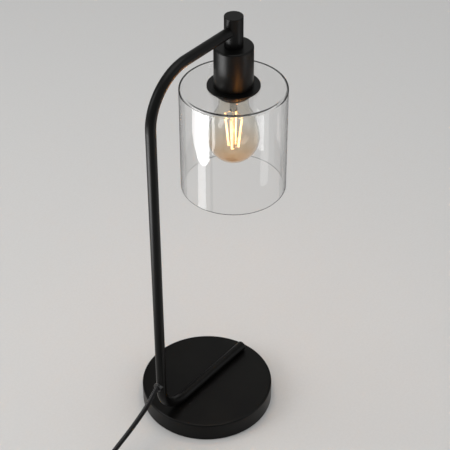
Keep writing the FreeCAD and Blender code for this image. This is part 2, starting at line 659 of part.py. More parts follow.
def holder_terminals():
    half = TERMINAL_WIDTH / 2
    blocks = []
    for side in (-1, 1):
        centre_y = side * TERMINAL_OFFSET
        block = box_between((HEAD_X - half, centre_y - half, CORE_TOP),
                            (HEAD_X + half, centre_y + half, CORE_TOP + TERMINAL_HEIGHT))
        wire_hole = rod(vec(HEAD_X, centre_y, CORE_TOP + 1.5), vec(0, 0, 1), TERMINAL_HEIGHT, TERMINAL_HOLE_RADIUS)
        screw_hole = rod(vec(HEAD_X, centre_y, CORE_TOP + TERMINAL_HEIGHT / 2), vec(1, 0, 0), TERMINAL_WIDTH,
                         TERMINAL_SCREW_RADIUS + THREAD_FIT)
        rivet = rod(vec(HEAD_X, centre_y, CORE_TOP - CORE_THICKNESS + 0.5), vec(0, 0, 1), CORE_THICKNESS, 0.85)
        blocks.append(fused([block.cut(wire_hole).cut(screw_hole), rivet]))
    return Part.makeCompound(blocks)


def terminal_screws():
    screws = []
    for side in (-1, 1):
        tip = vec(HEAD_X + TERMINAL_HOLE_RADIUS, side * TERMINAL_OFFSET, CORE_TOP + TERMINAL_HEIGHT / 2)
        shank_length = TERMINAL_WIDTH / 2 - TERMINAL_HOLE_RADIUS + 0.3
        outline = [(0, 0, 0), (TERMINAL_SCREW_RADIUS, 0, 0.3), (TERMINAL_SCREW_RADIUS, shank_length, 0),
                   (TERMINAL_HEAD_RADIUS, shank_length, 0),
                   (TERMINAL_HEAD_RADIUS, shank_length + TERMINAL_HEAD_HEIGHT, 0.5),
                   (0, shank_length + TERMINAL_HEAD_HEIGHT, 0)]
        screw = turned_along(outline, tip, vec(1, 0, 0))
        head_end = tip.x + shank_length + TERMINAL_HEAD_HEIGHT
        slot = box_between((head_end - 0.7, tip.y - 0.4, tip.z - 3), (head_end + 1, tip.y + 0.4, tip.z + 3))
        screws.append(screw.cut(slot))
    return Part.makeCompound(screws)


# Shade
def upper_shade_ring():
    bore = SLEEVE_RADIUS + THREAD_FIT
    return turned([(bore, GLASS_TOP, 0), (UPPER_RING_RADIUS, GLASS_TOP, 0.2),
                   (UPPER_RING_RADIUS, UPPER_RING_TOP, UPPER_RING_EDGE), (bore, UPPER_RING_TOP, 0)], HEAD_X)


def lower_shade_ring():
    bore = SLEEVE_RADIUS + THREAD_FIT
    bottom = LOWER_RING_TOP - LOWER_RING_HEIGHT
    ring = turned([(bore, bottom, 0), (LOWER_RING_RADIUS, bottom, 0.6), (LOWER_RING_RADIUS, LOWER_RING_TOP, 0.3),
                   (bore, LOWER_RING_TOP, 0)], HEAD_X)
    grooves = []
    for index in range(LOWER_RING_GRIPS):
        angle = 2 * math.pi * index / LOWER_RING_GRIPS
        centre_radius = LOWER_RING_RADIUS + GRIP_RADIUS * 0.3
        grooves.append(rod(vec(HEAD_X + centre_radius * math.cos(angle), centre_radius * math.sin(angle), bottom - 1),
                           vec(0, 0, 1), LOWER_RING_HEIGHT - 0.5, GRIP_RADIUS))
    return ring.cut(Part.makeCompound(grooves))


def shade_gasket():
    bore = SLEEVE_RADIUS + 0.15
    return turned([(bore, LOWER_RING_TOP, 0), (LOWER_RING_RADIUS - 0.3, LOWER_RING_TOP, 0),
                   (LOWER_RING_RADIUS - 0.3, GLASS_UNDERSIDE, 0), (bore, GLASS_UNDERSIDE, 0)], HEAD_X)


def glass_shade():
    hole = SLEEVE_RADIUS + GLASS_HOLE_CLEARANCE
    inner = GLASS_RADIUS - GLASS_WALL
    return turned([(hole, GLASS_TOP, 0.6), (GLASS_RADIUS, GLASS_TOP, GLASS_EDGE_RADIUS),
                   (GLASS_RADIUS, GLASS_BOTTOM, GLASS_RIM_RADIUS), (inner, GLASS_BOTTOM, GLASS_RIM_RADIUS),
                   (inner, GLASS_UNDERSIDE, max(GLASS_EDGE_RADIUS - GLASS_WALL, 0.3)),
                   (hole, GLASS_UNDERSIDE, 0.6)], HEAD_X)


# Bulb, from its tip contact down: tip, insulator, screw cap, glass
def bulb_heights():
    insulator_bottom = BULB_TIP - BULB_TIP_HEIGHT - BULB_INSULATOR_HEIGHT
    cap_bottom = insulator_bottom - BULB_CAP_HEIGHT + BULB_INSULATOR_HEIGHT
    return insulator_bottom, cap_bottom


def bulb_contact():
    face = BULB_TIP - BULB_TIP_HEIGHT
    return turned([(0, face, 0), (BULB_TIP_RADIUS, face, 0.3), (BULB_TIP_RADIUS - 0.6, BULB_TIP, 0.6),
                   (0, BULB_TIP, 0)], HEAD_X)


def bulb_insulator():
    bottom, _ = bulb_heights()
    top = BULB_TIP - BULB_TIP_HEIGHT
    return turned([(0, bottom, 0), (BULB_INSULATOR_RADIUS + 2.0, bottom, 0), (BULB_INSULATOR_RADIUS, top, 0.5),
                   (0, top, 0)], HEAD_X)


# The rolled thread is drawn as rounded rings at the thread's pitch
def bulb_cap():
    top, bottom = bulb_heights()
    shoulder = top - 2.5
    outer = [vec(HEAD_X + BULB_INSULATOR_RADIUS + 2.0, 0, top), vec(HEAD_X + BULB_CAP_ROOT, 0, shoulder)]
    edges = [Part.LineSegment(outer[0], outer[1]).toShape()]
    height = shoulder
    for _ in range(BULB_CAP_TURNS):
        crest = vec(HEAD_X + BULB_CAP_CREST, 0, height - BULB_CAP_PITCH / 2)
        foot = vec(HEAD_X + BULB_CAP_ROOT, 0, height - BULB_CAP_PITCH)
        edges.append(Part.Arc(vec(HEAD_X + BULB_CAP_ROOT, 0, height), crest, foot).toShape())
        height -= BULB_CAP_PITCH
    inside = BULB_CAP_ROOT - BULB_CAP_SHEET
    rest = [vec(HEAD_X + BULB_CAP_ROOT, 0, height), vec(HEAD_X + BULB_CAP_CREST, 0, height - 0.8),
            vec(HEAD_X + BULB_CAP_CREST, 0, bottom), vec(HEAD_X + BULB_CAP_CREST - BULB_CAP_SHEET, 0, bottom),
            vec(HEAD_X + inside, 0, bottom + 2.0), vec(HEAD_X + inside, 0, shoulder),
            vec(HEAD_X + BULB_INSULATOR_RADIUS + 1.4, 0, top), outer[0]]
    for start, end in zip(rest[:-1], rest[1:]):
        edges.append(Part.LineSegment(start, end).toShape())
    return Part.Face(Part.Wire(edges)).revolve(vec(HEAD_X, 0, 0), vec(0, 0, 1), 360)


# The bulb's outline: a sphere, a long shoulder, the neck, and a short turn in to the collar in the cap
def pear_solid(inset, collar_top):
    _, cap_bottom = bulb_heights()
    radius = BULB_RADIUS - inset
    belly = BULB_TIP - BULB_LENGTH + BULB_RADIUS
    shoulder_arc = (BULB_SHOULDER_STEP ** 2 + BULB_SHOULDER_DROP ** 2) / (2 * BULB_SHOULDER_STEP)
    lean = math.asin(BULB_SHOULDER_DROP / shoulder_arc)
    neck_arc = (BULB_RADIUS - BULB_SHOULDER_STEP - BULB_NECK_RADIUS) / (1 - math.cos(lean))
    neck_height = belly + (shoulder_arc + neck_arc) * math.sin(lean)
    collar = BULB_CAP_ROOT - BULB_CAP_SHEET - 0.1
    narrowing = BULB_NECK_RADIUS - collar
    turn_arc = (narrowing ** 2 + (cap_bottom - neck_height) ** 2) / (2 * narrowing)
    turn_centre = BULB_NECK_RADIUS - turn_arc
    turn = math.acos((collar - inset - turn_centre) / (turn_arc - inset))

    def shoulder(angle):
        return (BULB_RADIUS - shoulder_arc + (shoulder_arc - inset) * math.cos(angle),
                belly + (shoulder_arc - inset) * math.sin(angle))

    def neck(angle):
        return (BULB_NECK_RADIUS + neck_arc - (neck_arc + inset) * math.cos(angle),
                neck_height - (neck_arc + inset) * math.sin(angle))

    def collar_turn(angle):
        return turn_centre + (turn_arc - inset) * math.cos(angle), neck_height + (turn_arc - inset) * math.sin(angle)

    def at(place):
        return vec(HEAD_X + place[0], 0, place[1])

    diagonal = math.sqrt(0.5) * radius
    collar_start = collar_turn(turn)
    edges = [Part.Arc(at((0, belly - radius)), at((diagonal, belly - diagonal)), at((radius, belly))),
             Part.Arc(at((radius, belly)), at(shoulder(lean / 2)), at(shoulder(lean))),
             Part.Arc(at(shoulder(lean)), at(neck(lean / 2)), at(neck(0))),
             Part.Arc(at(neck(0)), at(collar_turn(turn / 2)), at(collar_start)),
             Part.LineSegment(at(collar_start), at((collar_start[0], collar_top))),
             Part.LineSegment(at((collar_start[0], collar_top)), at((0, collar_top))),
             Part.LineSegment(at((0, collar_top)), at((0, belly - radius)))]
    face = Part.Face(Part.Wire([edge.toShape() for edge in edges]))
    return face.revolve(vec(HEAD_X, 0, 0), vec(0, 0, 1), 360)


def bulb_envelope():
    _, cap_bottom = bulb_heights()
    collar_top = cap_bottom + BULB_COLLAR
    return pear_solid(0, collar_top).cut(pear_solid(BULB_GLASS, collar_top + 1))


def bulb_driver():
    top, _ = bulb_heights()
    board_top = top - 6.0
    board = rod(vec(HEAD_X, 0, board_top - DRIVER_BOARD_THICKNESS), vec(0, 0, 1), DRIVER_BOARD_THICKNESS,
                DRIVER_BOARD_RADIUS)
    bridge = box_between((HEAD_X - 3, -4, board_top), (HEAD_X + 3, 1, board_top + 2.2))
    capacitor = rod(vec(HEAD_X + 1, 4.6, board_top), vec(0, 0, 1), 5.0, 2.4)
    lead = rod(vec(HEAD_X - 5, 0, board_top), vec(0, 0, 1), 6.0, BULB_WIRE_RADIUS)
    return fused([board, bridge, capacitor, lead])


def filament_ends(index):
    _, cap_bottom = bulb_heights()
    top_height = cap_bottom - FILAMENT_TOP_BELOW_CAP
    angle = math.radians(FILAMENT_PHASE_DEGREES) + 2 * math.pi * index / FILAMENT_COUNT
    spread = FILAMENT_TOP_CIRCLE - FILAMENT_FOOT_CIRCLE
    fall = math.sqrt(FILAMENT_LENGTH ** 2 - spread ** 2)
    top = vec(HEAD_X + FILAMENT_TOP_CIRCLE * math.cos(angle), FILAMENT_TOP_CIRCLE * math.sin(angle), top_height)
    foot = vec(HEAD_X + FILAMENT_FOOT_CIRCLE * math.cos(angle), FILAMENT_FOOT_CIRCLE * math.sin(angle),
               top_height - fall)
    return top, foot


def bulb_filaments():
    sticks = []
    for index in range(FILAMENT_COUNT):
        top, foot = filament_ends(index)
        sticks.append(rod(top, foot - top, FILAMENT_LENGTH, FILAMENT_RADIUS))
    return Part.makeCompound(sticks)


def stem_heights():
    _, cap_bottom = bulb_heights()
    top, foot = filament_ends(0)
    return cap_bottom + 3.0, top.z + 4.0, foot.z - 3.0


def bulb_stem():
    flare, press, rod_end = stem_heights()
    return turned([(0, rod_end, 0), (STEM_ROD_RADIUS, rod_end, 0.8), (STEM_ROD_RADIUS, press, 0),
                   (STEM_ROD_RADIUS + 2.4, press + 1.5, 0), (STEM_ROD_RADIUS + 2.4, flare - 5.0, 2.0),
                   (STEM_FLARE_RADIUS - 0.9, flare, 0), (0, flare, 0)], HEAD_X)


def bulb_wires():
    _, press, rod_end = stem_heights()
    wires = []
    for index in range(FILAMENT_COUNT):
        top, foot = filament_ends(index)
        way = top - foot
        way.normalize()
        upper = top + way * 0.02
        lower = foot - way * 0.02
        inner = vec(HEAD_X, 0, press + 2.0) - upper
        hub = vec(HEAD_X, 0, rod_end + 1.5) - lower
        stick = rod(top, foot - top, FILAMENT_LENGTH, FILAMENT_RADIUS)
        wires.append(rod(upper, inner, inner.Length - STEM_ROD_RADIUS - 2.4, BULB_WIRE_RADIUS).cut(stick))
        wires.append(rod(lower, hub, hub.Length - STEM_ROD_RADIUS - 0.3, BULB_WIRE_RADIUS).cut(stick))
    return Part.makeCompound([solid for wire in wires for solid in wire.Solids])


# Wiring inside the frame: two insulated cores, side by side, from the cord's end to the terminals
def inner_core(side):
    offset = side * (CORE_WIRE_RADIUS + CORE_WIRE_GAP / 2)
    start = bush_point(SHEATH_END_FROM_AXIS - 0.02)
    start.y = offset
    way = bush_point(0) - bush_point(1)
    up = vec(0, 0, 1)
    rise = vec(STEM_X, offset, BUSH_AXIS_HEIGHT + 4.0)
    bend_top = vec(STEM_X, offset, ARM_HEIGHT - HIGH_BEND_RADIUS)
    turn_x = STEM_X + HIGH_BEND_RADIUS
    diagonal = math.sqrt(0.5)
    bend_middle = vec(turn_x - HIGH_BEND_RADIUS * diagonal, offset, ARM_HEIGHT - HIGH_BEND_RADIUS * (1 - diagonal))
    arm_start = vec(turn_x, offset, ARM_HEIGHT)
    arm_end = vec(HEAD_X - CORE_WIRE_BEND, offset, ARM_HEIGHT)
    drop_middle = vec(HEAD_X - CORE_WIRE_BEND * (1 - diagonal), offset, ARM_HEIGHT - CORE_WIRE_BEND * (1 - diagonal))
    drop_start = vec(HEAD_X, offset, ARM_HEIGHT - CORE_WIRE_BEND)
    fan_start = vec(HEAD_X, offset, CAP_TOP - NIPPLE_IN_HOLDER + 0.5)
    fan_end = vec(HEAD_X, side * TERMINAL_OFFSET, CORE_TOP + TERMINAL_HEIGHT + 0.3)
    wire_end = vec(HEAD_X, side * TERMINAL_OFFSET, CORE_TOP + 1.6)
    edges = biarc(start, way, rise, up)
    edges.append(Part.LineSegment(rise, bend_top).toShape())
    edges.append(Part.Arc(bend_top, bend_middle, arm_start).toShape())
    edges.append(Part.LineSegment(arm_start, arm_end).toShape())
    edges.append(Part.Arc(arm_end, drop_middle, drop_start).toShape())
    edges.append(Part.LineSegment(drop_start, fan_start).toShape())
    edges += biarc(fan_start, vec(0, 0, -1), fan_end, vec(0, 0, -1))
    edges.append(Part.LineSegment(fan_end, wire_end).toShape())
    return swept_tube(Part.Wire(edges), CORE_WIRE_RADIUS, "inner core")


# Free cord: hand-chosen points, from the bush to the switch, the coil and the plug
def lead_points():
    end = SWITCH_Y + SWITCH_LENGTH / 2 + RELIEF_LENGTH + STUB_BEYOND_RELIEF
    return [bush_point(SHEATH_END_FROM_AXIS), bush_point(BUSH_LEAD_OUT), vec(-98.5, -0.5, 65.2),
            vec(-108.0, 1.2, 55.2), vec(-118.0, 4.6, 43.5), vec(-126.8, 8.2, 32.6), vec(-137.5, 12.6, 20.5),
            vec(-150.0, 15.2, 11.0), vec(-162.0, 13.7, 5.2), vec(-173.3, 7.2, CORD_AXIS_ON_TABLE),
            vec(-181.8, -4.0, 3.1), vec(SWITCH_X, end + 13.0, SWITCH_SPLIT_HEIGHT),
            vec(SWITCH_X, end, SWITCH_SPLIT_HEIGHT)]


def mid_points():
    begin = SWITCH_Y - SWITCH_LENGTH / 2 - RELIEF_LENGTH - STUB_BEYOND_RELIEF
    start = coil_start()
    return [vec(SWITCH_X, begin, SWITCH_SPLIT_HEIGHT), vec(SWITCH_X, begin - 16.0, SWITCH_SPLIT_HEIGHT),
            vec(-177.5, -164.7, 5.2), vec(start.x - 16.0, start.y, COIL_LOW_Z), start]


def tail_points():
    end = coil_end()
    return [end, vec(end.x + 16.6, end.y, COIL_HIGH_Z), vec(-105.5, -162.0, 18.4), vec(-97.5, -148.2, 12.4),
            vec(PLUG_X, PLUG_ROOT_Y - 28.0, PLUG_AXIS), vec(PLUG_X, PLUG_ROOT_Y - 15.0, PLUG_AXIS)]


# Straight cord inside each strain relief of the switch, from its bar inside the housing
def switch_cords():
    reach = SWITCH_LENGTH / 2 + RELIEF_LENGTH + STUB_BEYOND_RELIEF
    start = SWITCH_LENGTH / 2 - SWITCH_BAR_LENGTH
    stubs = []
    for side in (-1, 1):
        inner = vec(SWITCH_X, SWITCH_Y + side * start, SWITCH_SPLIT_HEIGHT)
        stubs.append(rod(inner, vec(0, side, 0), reach - start, CORD_RADIUS))
    return Part.makeCompound(stubs)


def cord_piece(points, label):
    return swept_tube(route_wire(points, label), CORD_RADIUS, label)


# The coil starts and ends on its -Y side, heading +X, with a straight lead of one cord diameter
def coil_start():
    return vec(COIL_X - 2 * CORD_RADIUS, COIL_Y - COIL_OUTER_RADIUS, COIL_LOW_Z)


def coil_path():
    quarters = []
    outward = -1
    for layer, half_turns in enumerate(COIL_HALF_TURNS):
        if layer:
            quarters += [(-outward * COIL_CLIMB_TUCK, True), (outward * COIL_CLIMB_TUCK, True)]
        quarters += [(outward * COIL_STEP / 4, False)] * (2 * half_turns)
        outward = -outward
    climb = COIL_STEP / 2
    half_climbed = False
    angle = -math.pi / 2
    radius = COIL_OUTER_RADIUS
    height = COIL_LOW_Z
    here = vec(COIL_X, COIL_Y - radius, height)
    way = vec(1, 0, 0)
    edges = [Part.LineSegment(coil_start(), here).toShape()]
    for change, climbing in quarters:
        angle += math.pi / 2
        radius += change
        height += climb if climbing else 0
        half_climbed = climbing and not half_climbed
        there = vec(COIL_X + radius * math.cos(angle), COIL_Y + radius * math.sin(angle), height)
        next_way = vec(-math.sin(angle), math.cos(angle), 0)
        if half_climbed:
            next_way.z = CLIMB_STEEPNESS * 2 * climb / (math.pi * radius)
            next_way.normalize()
        edges += biarc(here, way, there, next_way)
        here, way = there, next_way
    edges.append(Part.LineSegment(here, here + way * (2 * CORD_RADIUS)).toShape())
    return Part.Wire(edges)


def coil_end():
    last = coil_path().OrderedVertexes[-1].Point
    return vec(last.x, last.y, last.z)


def least_gap(wire):
    points = wire.discretize(Number=900)
    apart = int(len(points) * 0.06)
    least = 1e9
    for index, point in enumerate(points):
        for other in points[index + apart:]:
            least = min(least, point.distanceToPoint(other))
    return least - 2 * CORD_RADIUS


def cord_coil():
    path = coil_path()
    print("coil least gap to itself", round(least_gap(path), 2))
    return swept_tube(path, CORD_RADIUS, "cord_coil")


# The strap goes round all the turns on the coil's +Y side, across from its ends
def coil_tie():
    outermost = COIL_OUTER_RADIUS - COIL_STEP / 2
    innermost = COIL_OUTER_RADIUS - COIL_STEP * COIL_HALF_TURNS[0] / 2 - COIL_CLIMB_TUCK
    chord = math.sqrt(innermost ** 2 - (STRAP_WIDTH / 2) ** 2)
    corner = CORD_RADIUS + STRAP_CLEARANCE
    inner_side = chord - corner
    outer_side = outermost + corner
    low = COIL_LOW_Z - corner
    high = COIL_HIGH_Z + corner

    def loop(grow):
        outline = [(inner_side - grow, low - grow, corner + grow), (outer_side + grow, low - grow, corner + grow),
                   (outer_side + grow, high + grow, corner + grow), (inner_side - grow, high + grow, corner + grow)]
        wire = rounded_wire(outline, lambda point: vec(COIL_X - STRAP_WIDTH / 2, COIL_Y + point.x, point.y))
        return Part.Face(wire).extrude(vec(STRAP_WIDTH, 0, 0))

    return loop(STRAP_THICKNESS).cut(loop(0))


# Switch: a boat-shaped housing, split at the height of the cord
def switch_plan(inset, bottom, height):
    half_length = SWITCH_LENGTH / 2 - inset
    half_width = SWITCH_WIDTH / 2 - inset
    half_end = SWITCH_END_WIDTH / 2 - inset
    x, y = SWITCH_X, SWITCH_Y
    corners = [vec(x - half_end, y - half_length, bottom), vec(x + half_end, y - half_length, bottom),
               vec(x + half_end, y + half_length, bottom), vec(x - half_end, y + half_length, bottom)]
    wire = Part.Wire([Part.LineSegment(corners[0], corners[1]).toShape(),
                      Part.Arc(corners[1], vec(x + half_width, y, bottom), corners[2]).toShape(),
                      Part.LineSegment(corners[2], corners[3]).toShape(),
                      Part.Arc(corners[3], vec(x - half_width, y, bottom), corners[0]).toShape()])
    return Part.Face(wire).extrude(vec(0, 0, height))


def edges_at(shape, height):
    return [edge for edge in shape.Edges if all(abs(vertex.Point.z - height) < 1e-6 for vertex in edge.Vertexes)]


def switch_cord_channel():
    reach = SWITCH_LENGTH / 2 + 1
    start = vec(SWITCH_X, SWITCH_Y - reach, SWITCH_SPLIT_HEIGHT)
    return rod(start, vec(0, 1, 0), 2 * reach, CORD_RADIUS + CORD_FIT)


def grip_bars(bottom, top):
    bars = []
    for side in (-1, 1):
        face = SWITCH_Y + side * (SWITCH_LENGTH / 2 - SWITCH_WALL - 2.5)
        bars.append(box_between((SWITCH_X - 5.5, face - 1, bottom), (SWITCH_X + 5.5, face + 1, top)))
    return bars


def switch_screw_places():
    return [(SWITCH_X + side * 6.8, SWITCH_Y + side * SWITCH_SCREW_OFFSET) for side in (-1, 1)]


def switch_base():
    outer = switch_plan(0, SWITCH_BOTTOM, SWITCH_SPLIT_HEIGHT - SWITCH_BOTTOM)
    outer = outer.makeFillet(SWITCH_BOTTOM_RADIUS, edges_at(outer, SWITCH_BOTTOM))
    floor = SWITCH_BOTTOM + SWITCH_WALL
    shell = outer.cut(switch_plan(SWITCH_WALL, floor, SWITCH_SPLIT_HEIGHT))
    posts = [rod(vec(x, y, floor - 0.5), vec(0, 0, 1), SWITCH_SPLIT_HEIGHT - floor + 0.5, SWITCH_POST_RADIUS)
             for x, y in switch_screw_places()]
    shell = fused([shell] + posts + grip_bars(floor - 0.5, SWITCH_SPLIT_HEIGHT))
    for x, y in switch_screw_places():
        shell = shell.cut(rod(vec(x, y, SWITCH_BOTTOM - 1), vec(0, 0, 1), 20, SWITCH_SCREW_RADIUS + 0.2))
        shell = shell.cut(rod(vec(x, y, SWITCH_BOTTOM - 1), vec(0, 0, 1), 3.2, SWITCH_SCREW_HEAD + 0.2))
    return shell.cut(switch_cord_channel())


def switch_cover():
    height = SWITCH_TOP - SWITCH_SPLIT_HEIGHT
    outer = switch_plan(0, SWITCH_SPLIT_HEIGHT, height)
    outer = outer.makeFillet(SWITCH_TOP_RADIUS, edges_at(outer, SWITCH_TOP))
    shell = outer.cut(switch_plan(SWITCH_WALL, SWITCH_SPLIT_HEIGHT - 1, height + 1 - SWITCH_WALL))
    ceiling = SWITCH_TOP - SWITCH_WALL
    half_gap = ROCKER_WIDTH / 2 + ROCKER_CLEARANCE
    cheek_half = TRUNNION_RADIUS + CHEEK_MARGIN + 1.5
    cheeks = [box_between((SWITCH_X + min(side * half_gap, side * (half_gap + CHEEK_THICKNESS)),
                           SWITCH_Y - cheek_half, ROCKER_PIVOT_HEIGHT - TRUNNION_RADIUS - CHEEK_MARGIN),
                          (SWITCH_X + max(side * half_gap, side * (half_gap + CHEEK_THICKNESS)),
                           SWITCH_Y + cheek_half, ceiling + 0.5)) for side in (-1, 1)]
    posts = [rod(vec(x, y, SWITCH_SPLIT_HEIGHT), vec(0, 0, 1), ceiling - SWITCH_SPLIT_HEIGHT + 0.5,
                 SWITCH_POST_RADIUS) for x, y in switch_screw_places()]
    shell = fused([shell] + cheeks + posts + grip_bars(SWITCH_SPLIT_HEIGHT, ceiling + 0.5))
    half_length = ROCKER_REACH + ROCKER_CLEARANCE
    window = box_between((SWITCH_X - half_gap, SWITCH_Y - half_length, ceiling - 1),
                         (SWITCH_X + half_gap, SWITCH_Y + half_length, SWITCH_TOP + 1))
    pivot = rod(vec(SWITCH_X - 20, SWITCH_Y, ROCKER_PIVOT_HEIGHT), vec(1, 0, 0), 40, TRUNNION_RADIUS + TRUNNION_FIT)
    pivot = pivot.common(box_between((SWITCH_X - half_gap - TRUNNION_LENGTH - 0.1, SWITCH_Y - 5, 0),
                                     (SWITCH_X + half_gap + TRUNNION_LENGTH + 0.1, SWITCH_Y + 5, 40)))
    shell = shell.cut(window).cut(pivot).cut(switch_cord_channel())
    for x, y in switch_screw_places():
        shell = shell.cut(rod(vec(x, y, SWITCH_SPLIT_HEIGHT - 1), vec(0, 0, 1), 6.0, SWITCH_SCREW_RADIUS + THREAD_FIT))
    return shell


# The rocker's ends are arcs about its pivot, so they keep their gap in the window as it tilts
def switch_rocker():
    x, y, z = SWITCH_X, SWITCH_Y, ROCKER_PIVOT_HEIGHT

    def at(along, up):
        return vec(x - ROCKER_WIDTH / 2, y + along, z + up)

    def on_end(side, up):
        return at(side * math.sqrt(ROCKER_REACH ** 2 - up ** 2), up)

    low, high = ROCKER_SHOULDER, ROCKER_CREST
    middle = (low + high) / 2
    edges = [Part.Arc(on_end(-1, high), at(0, high - ROCKER_DIP), on_end(1, high)),
             Part.Arc(on_end(1, high), on_end(1, middle), on_end(1, low)),
             Part.Arc(on_end(1, low), at(0, -ROCKER_SKIRT), on_end(-1, low)),
             Part.Arc(on_end(-1, low), on_end(-1, middle), on_end(-1, high))]
    body = Part.Face(Part.Wire([edge.toShape() for edge in edges])).extrude(vec(ROCKER_WIDTH, 0, 0))
    reach = ROCKER_WIDTH / 2 + ROCKER_CLEARANCE + TRUNNION_LENGTH - 0.1
    trunnions = rod(vec(x - reach, y, z), vec(1, 0, 0), 2 * reach, TRUNNION_RADIUS)
    half_peg = ROCKER_PEG_WIDTH / 2
    peg = box_between((x - 2.5, y - half_peg, z - ROCKER_PEG_LENGTH), (x + 2.5, y + half_peg, z))
    rocker = fused([body, trunnions, peg])
    rocker.rotate(vec(x, y, z), vec(1, 0, 0), ROCKER_TILT_DEGREES)
    return rocker


def switch_leaf():
    tilt = math.radians(ROCKER_TILT_DEGREES)
    floor = SWITCH_BOTTOM + SWITCH_WALL
    peg_tip = ROCKER_PEG_LENGTH * math.sin(tilt) + ROCKER_PEG_WIDTH / 2 * math.cos(tilt)
    near = SWITCH_Y + peg_tip + LEAF_GAP
    half = LEAF_WIDTH / 2
    top = ROCKER_PIVOT_HEIGHT - ROCKER_PEG_LENGTH + 2.0
    blade = box_between((SWITCH_X - half, near, floor), (SWITCH_X + half, near + LEAF_THICKNESS, top))
    foot = box_between((SWITCH_X - half, near, floor),
                       (SWITCH_X + half, SWITCH_Y + SWITCH_TERMINAL_SPACING / 2 + 2, floor + LEAF_THICKNESS))
    return fused([blade, foot])


def switch_terminals():
    floor = SWITCH_BOTTOM + SWITCH_WALL
    clamps = []
    for side in (-1, 1):
        y = SWITCH_Y + side * SWITCH_TERMINAL_SPACING / 2
        bottom = floor + (LEAF_THICKNESS if side > 0 else 0)
        block = box_between((SWITCH_X - 3, y - 2.5, bottom), (SWITCH_X + 3, y + 2.5, bottom + 5))
        hole = rod(vec(SWITCH_X, y - 3, bottom + 2.4), vec(0, 1, 0), 6, 1.2)
        clamps.append(block.cut(hole))
    return Part.makeCompound(clamps)


def switch_screws():
    screws = []
    for x, y in switch_screw_places():
        bottom = SWITCH_BOTTOM + 0.3
        shank = SWITCH_SCREW_RADIUS
        tip = SWITCH_SPLIT_HEIGHT + 4.5
        screws.append(turned([(0, bottom, 0), (SWITCH_SCREW_HEAD, bottom, 0.4), (SWITCH_SCREW_HEAD, bottom + 1.6, 0),
                              (shank, bottom + 1.6, 0), (shank, tip, 0.5), (0, tip, 0)], x, y))
    return Part.makeCompound(screws)


# A ribbed taper: grooves cut into a cone, from the root at the housing to the tip on the cord
def strain_relief(root, direction):
    bore = CORD_RADIUS + CORD_FIT
    outline = [(bore, 0, 0), (RELIEF_ROOT_RADIUS, 0, 0)]
    pitch = (RELIEF_LENGTH - 3.0) / RELIEF_RIBS
    for index in range(RELIEF_RIBS):
        start = 2.0 + index * pitch
        radius = RELIEF_ROOT_RADIUS + (RELIEF_TIP_RADIUS - RELIEF_ROOT_RADIUS) * start / RELIEF_LENGTH
        outline += [(radius, start, 0), (radius - RELIEF_GROOVE, start, 0),
                    (radius - RELIEF_GROOVE - 0.05, start + pitch * 0.4, 0), (radius - 0.08, start + pitch * 0.4, 0)]
    outline += [(RELIEF_TIP_RADIUS, RELIEF_LENGTH, 0.3), (bore, RELIEF_LENGTH, 0)]
    return turned_along(outline, root, direction)


def switch_reliefs():
    upper = vec(SWITCH_X, SWITCH_Y + SWITCH_LENGTH / 2, SWITCH_SPLIT_HEIGHT)
    lower = vec(SWITCH_X, SWITCH_Y - SWITCH_LENGTH / 2, SWITCH_SPLIT_HEIGHT)
    return Part.makeCompound([strain_relief(upper, vec(0, 1, 0)), strain_relief(lower, vec(0, -1, 0))])


# Plug
def plug_section(y, width, thickness, corner):
    outline = [(-width / 2, -thickness / 2, corner), (width / 2, -thickness / 2, corner),
               (width / 2, thickness / 2, corner), (-width / 2, thickness / 2, corner)]
    return rounded_wire(outline, lambda point: vec(PLUG_X + point.x, y, PLUG_AXIS + point.y))


# The plug points along +Y: its cord end is at the root, its pins leave the far face
def plug_body():
    face = PLUG_ROOT_Y + PLUG_LENGTH
    sections = [plug_section(face, PLUG_WIDTH, PLUG_THICKNESS, PLUG_CORNER_RADIUS),
                plug_section(face - PLUG_LENGTH * 0.45, PLUG_WIDTH - 2, PLUG_THICKNESS, PLUG_CORNER_RADIUS),
                plug_section(face - PLUG_LENGTH * 0.8, PLUG_NECK_WIDTH + 5, PLUG_NECK_THICKNESS + 1, 4.5),
                plug_section(PLUG_ROOT_Y, PLUG_NECK_WIDTH, PLUG_NECK_THICKNESS, 4.5)]
    body = Part.makeLoft(sections, True, True)
    for start in pin_starts(face - PIN_EMBED):
        body = body.cut(rod(start, vec(0, 1, 0), PIN_EMBED + 1, PIN_RADIUS))
    return body


def pin_starts(y):
    return [vec(PLUG_X + side * PIN_SPACING / 2, y, PLUG_AXIS) for side in (-1, 1)]


def plug_pins():
    waist = PIN_SLEEVE_RADIUS - PIN_SLEEVE_WALL
    sleeve_end = PIN_EMBED + PIN_SLEEVE_LENGTH
    outline = [(0, 0, 0), (PIN_RADIUS, 0, 0), (PIN_RADIUS, PIN_EMBED, 0), (waist, PIN_EMBED, 0),
               (waist, sleeve_end, 0), (PIN_RADIUS, sleeve_end, 0),
               (PIN_RADIUS, PIN_EMBED + PIN_LENGTH, PIN_TIP_RADIUS), (0, PIN_EMBED + PIN_LENGTH, 0)]
    starts = pin_starts(PLUG_ROOT_Y + PLUG_LENGTH - PIN_EMBED)
    return Part.makeCompound([turned_along(outline, start, vec(0, 1, 0)) for start in starts])


def pin_sleeves():
    bore = PIN_SLEEVE_RADIUS - PIN_SLEEVE_WALL
    outline = [(bore, 0, 0), (PIN_SLEEVE_RADIUS, 0, 0), (PIN_SLEEVE_RADIUS, PIN_SLEEVE_LENGTH, 0),
               (bore, PIN_SLEEVE_LENGTH, 0)]
    starts = pin_starts(PLUG_ROOT_Y + PLUG_LENGTH)
    return Part.makeCompound([turned_along(outline, start, vec(0, 1, 0)) for start in starts])


def plug_relief():
    return strain_relief(vec(PLUG_X, PLUG_ROOT_Y, PLUG_AXIS), vec(0, -1, 0))


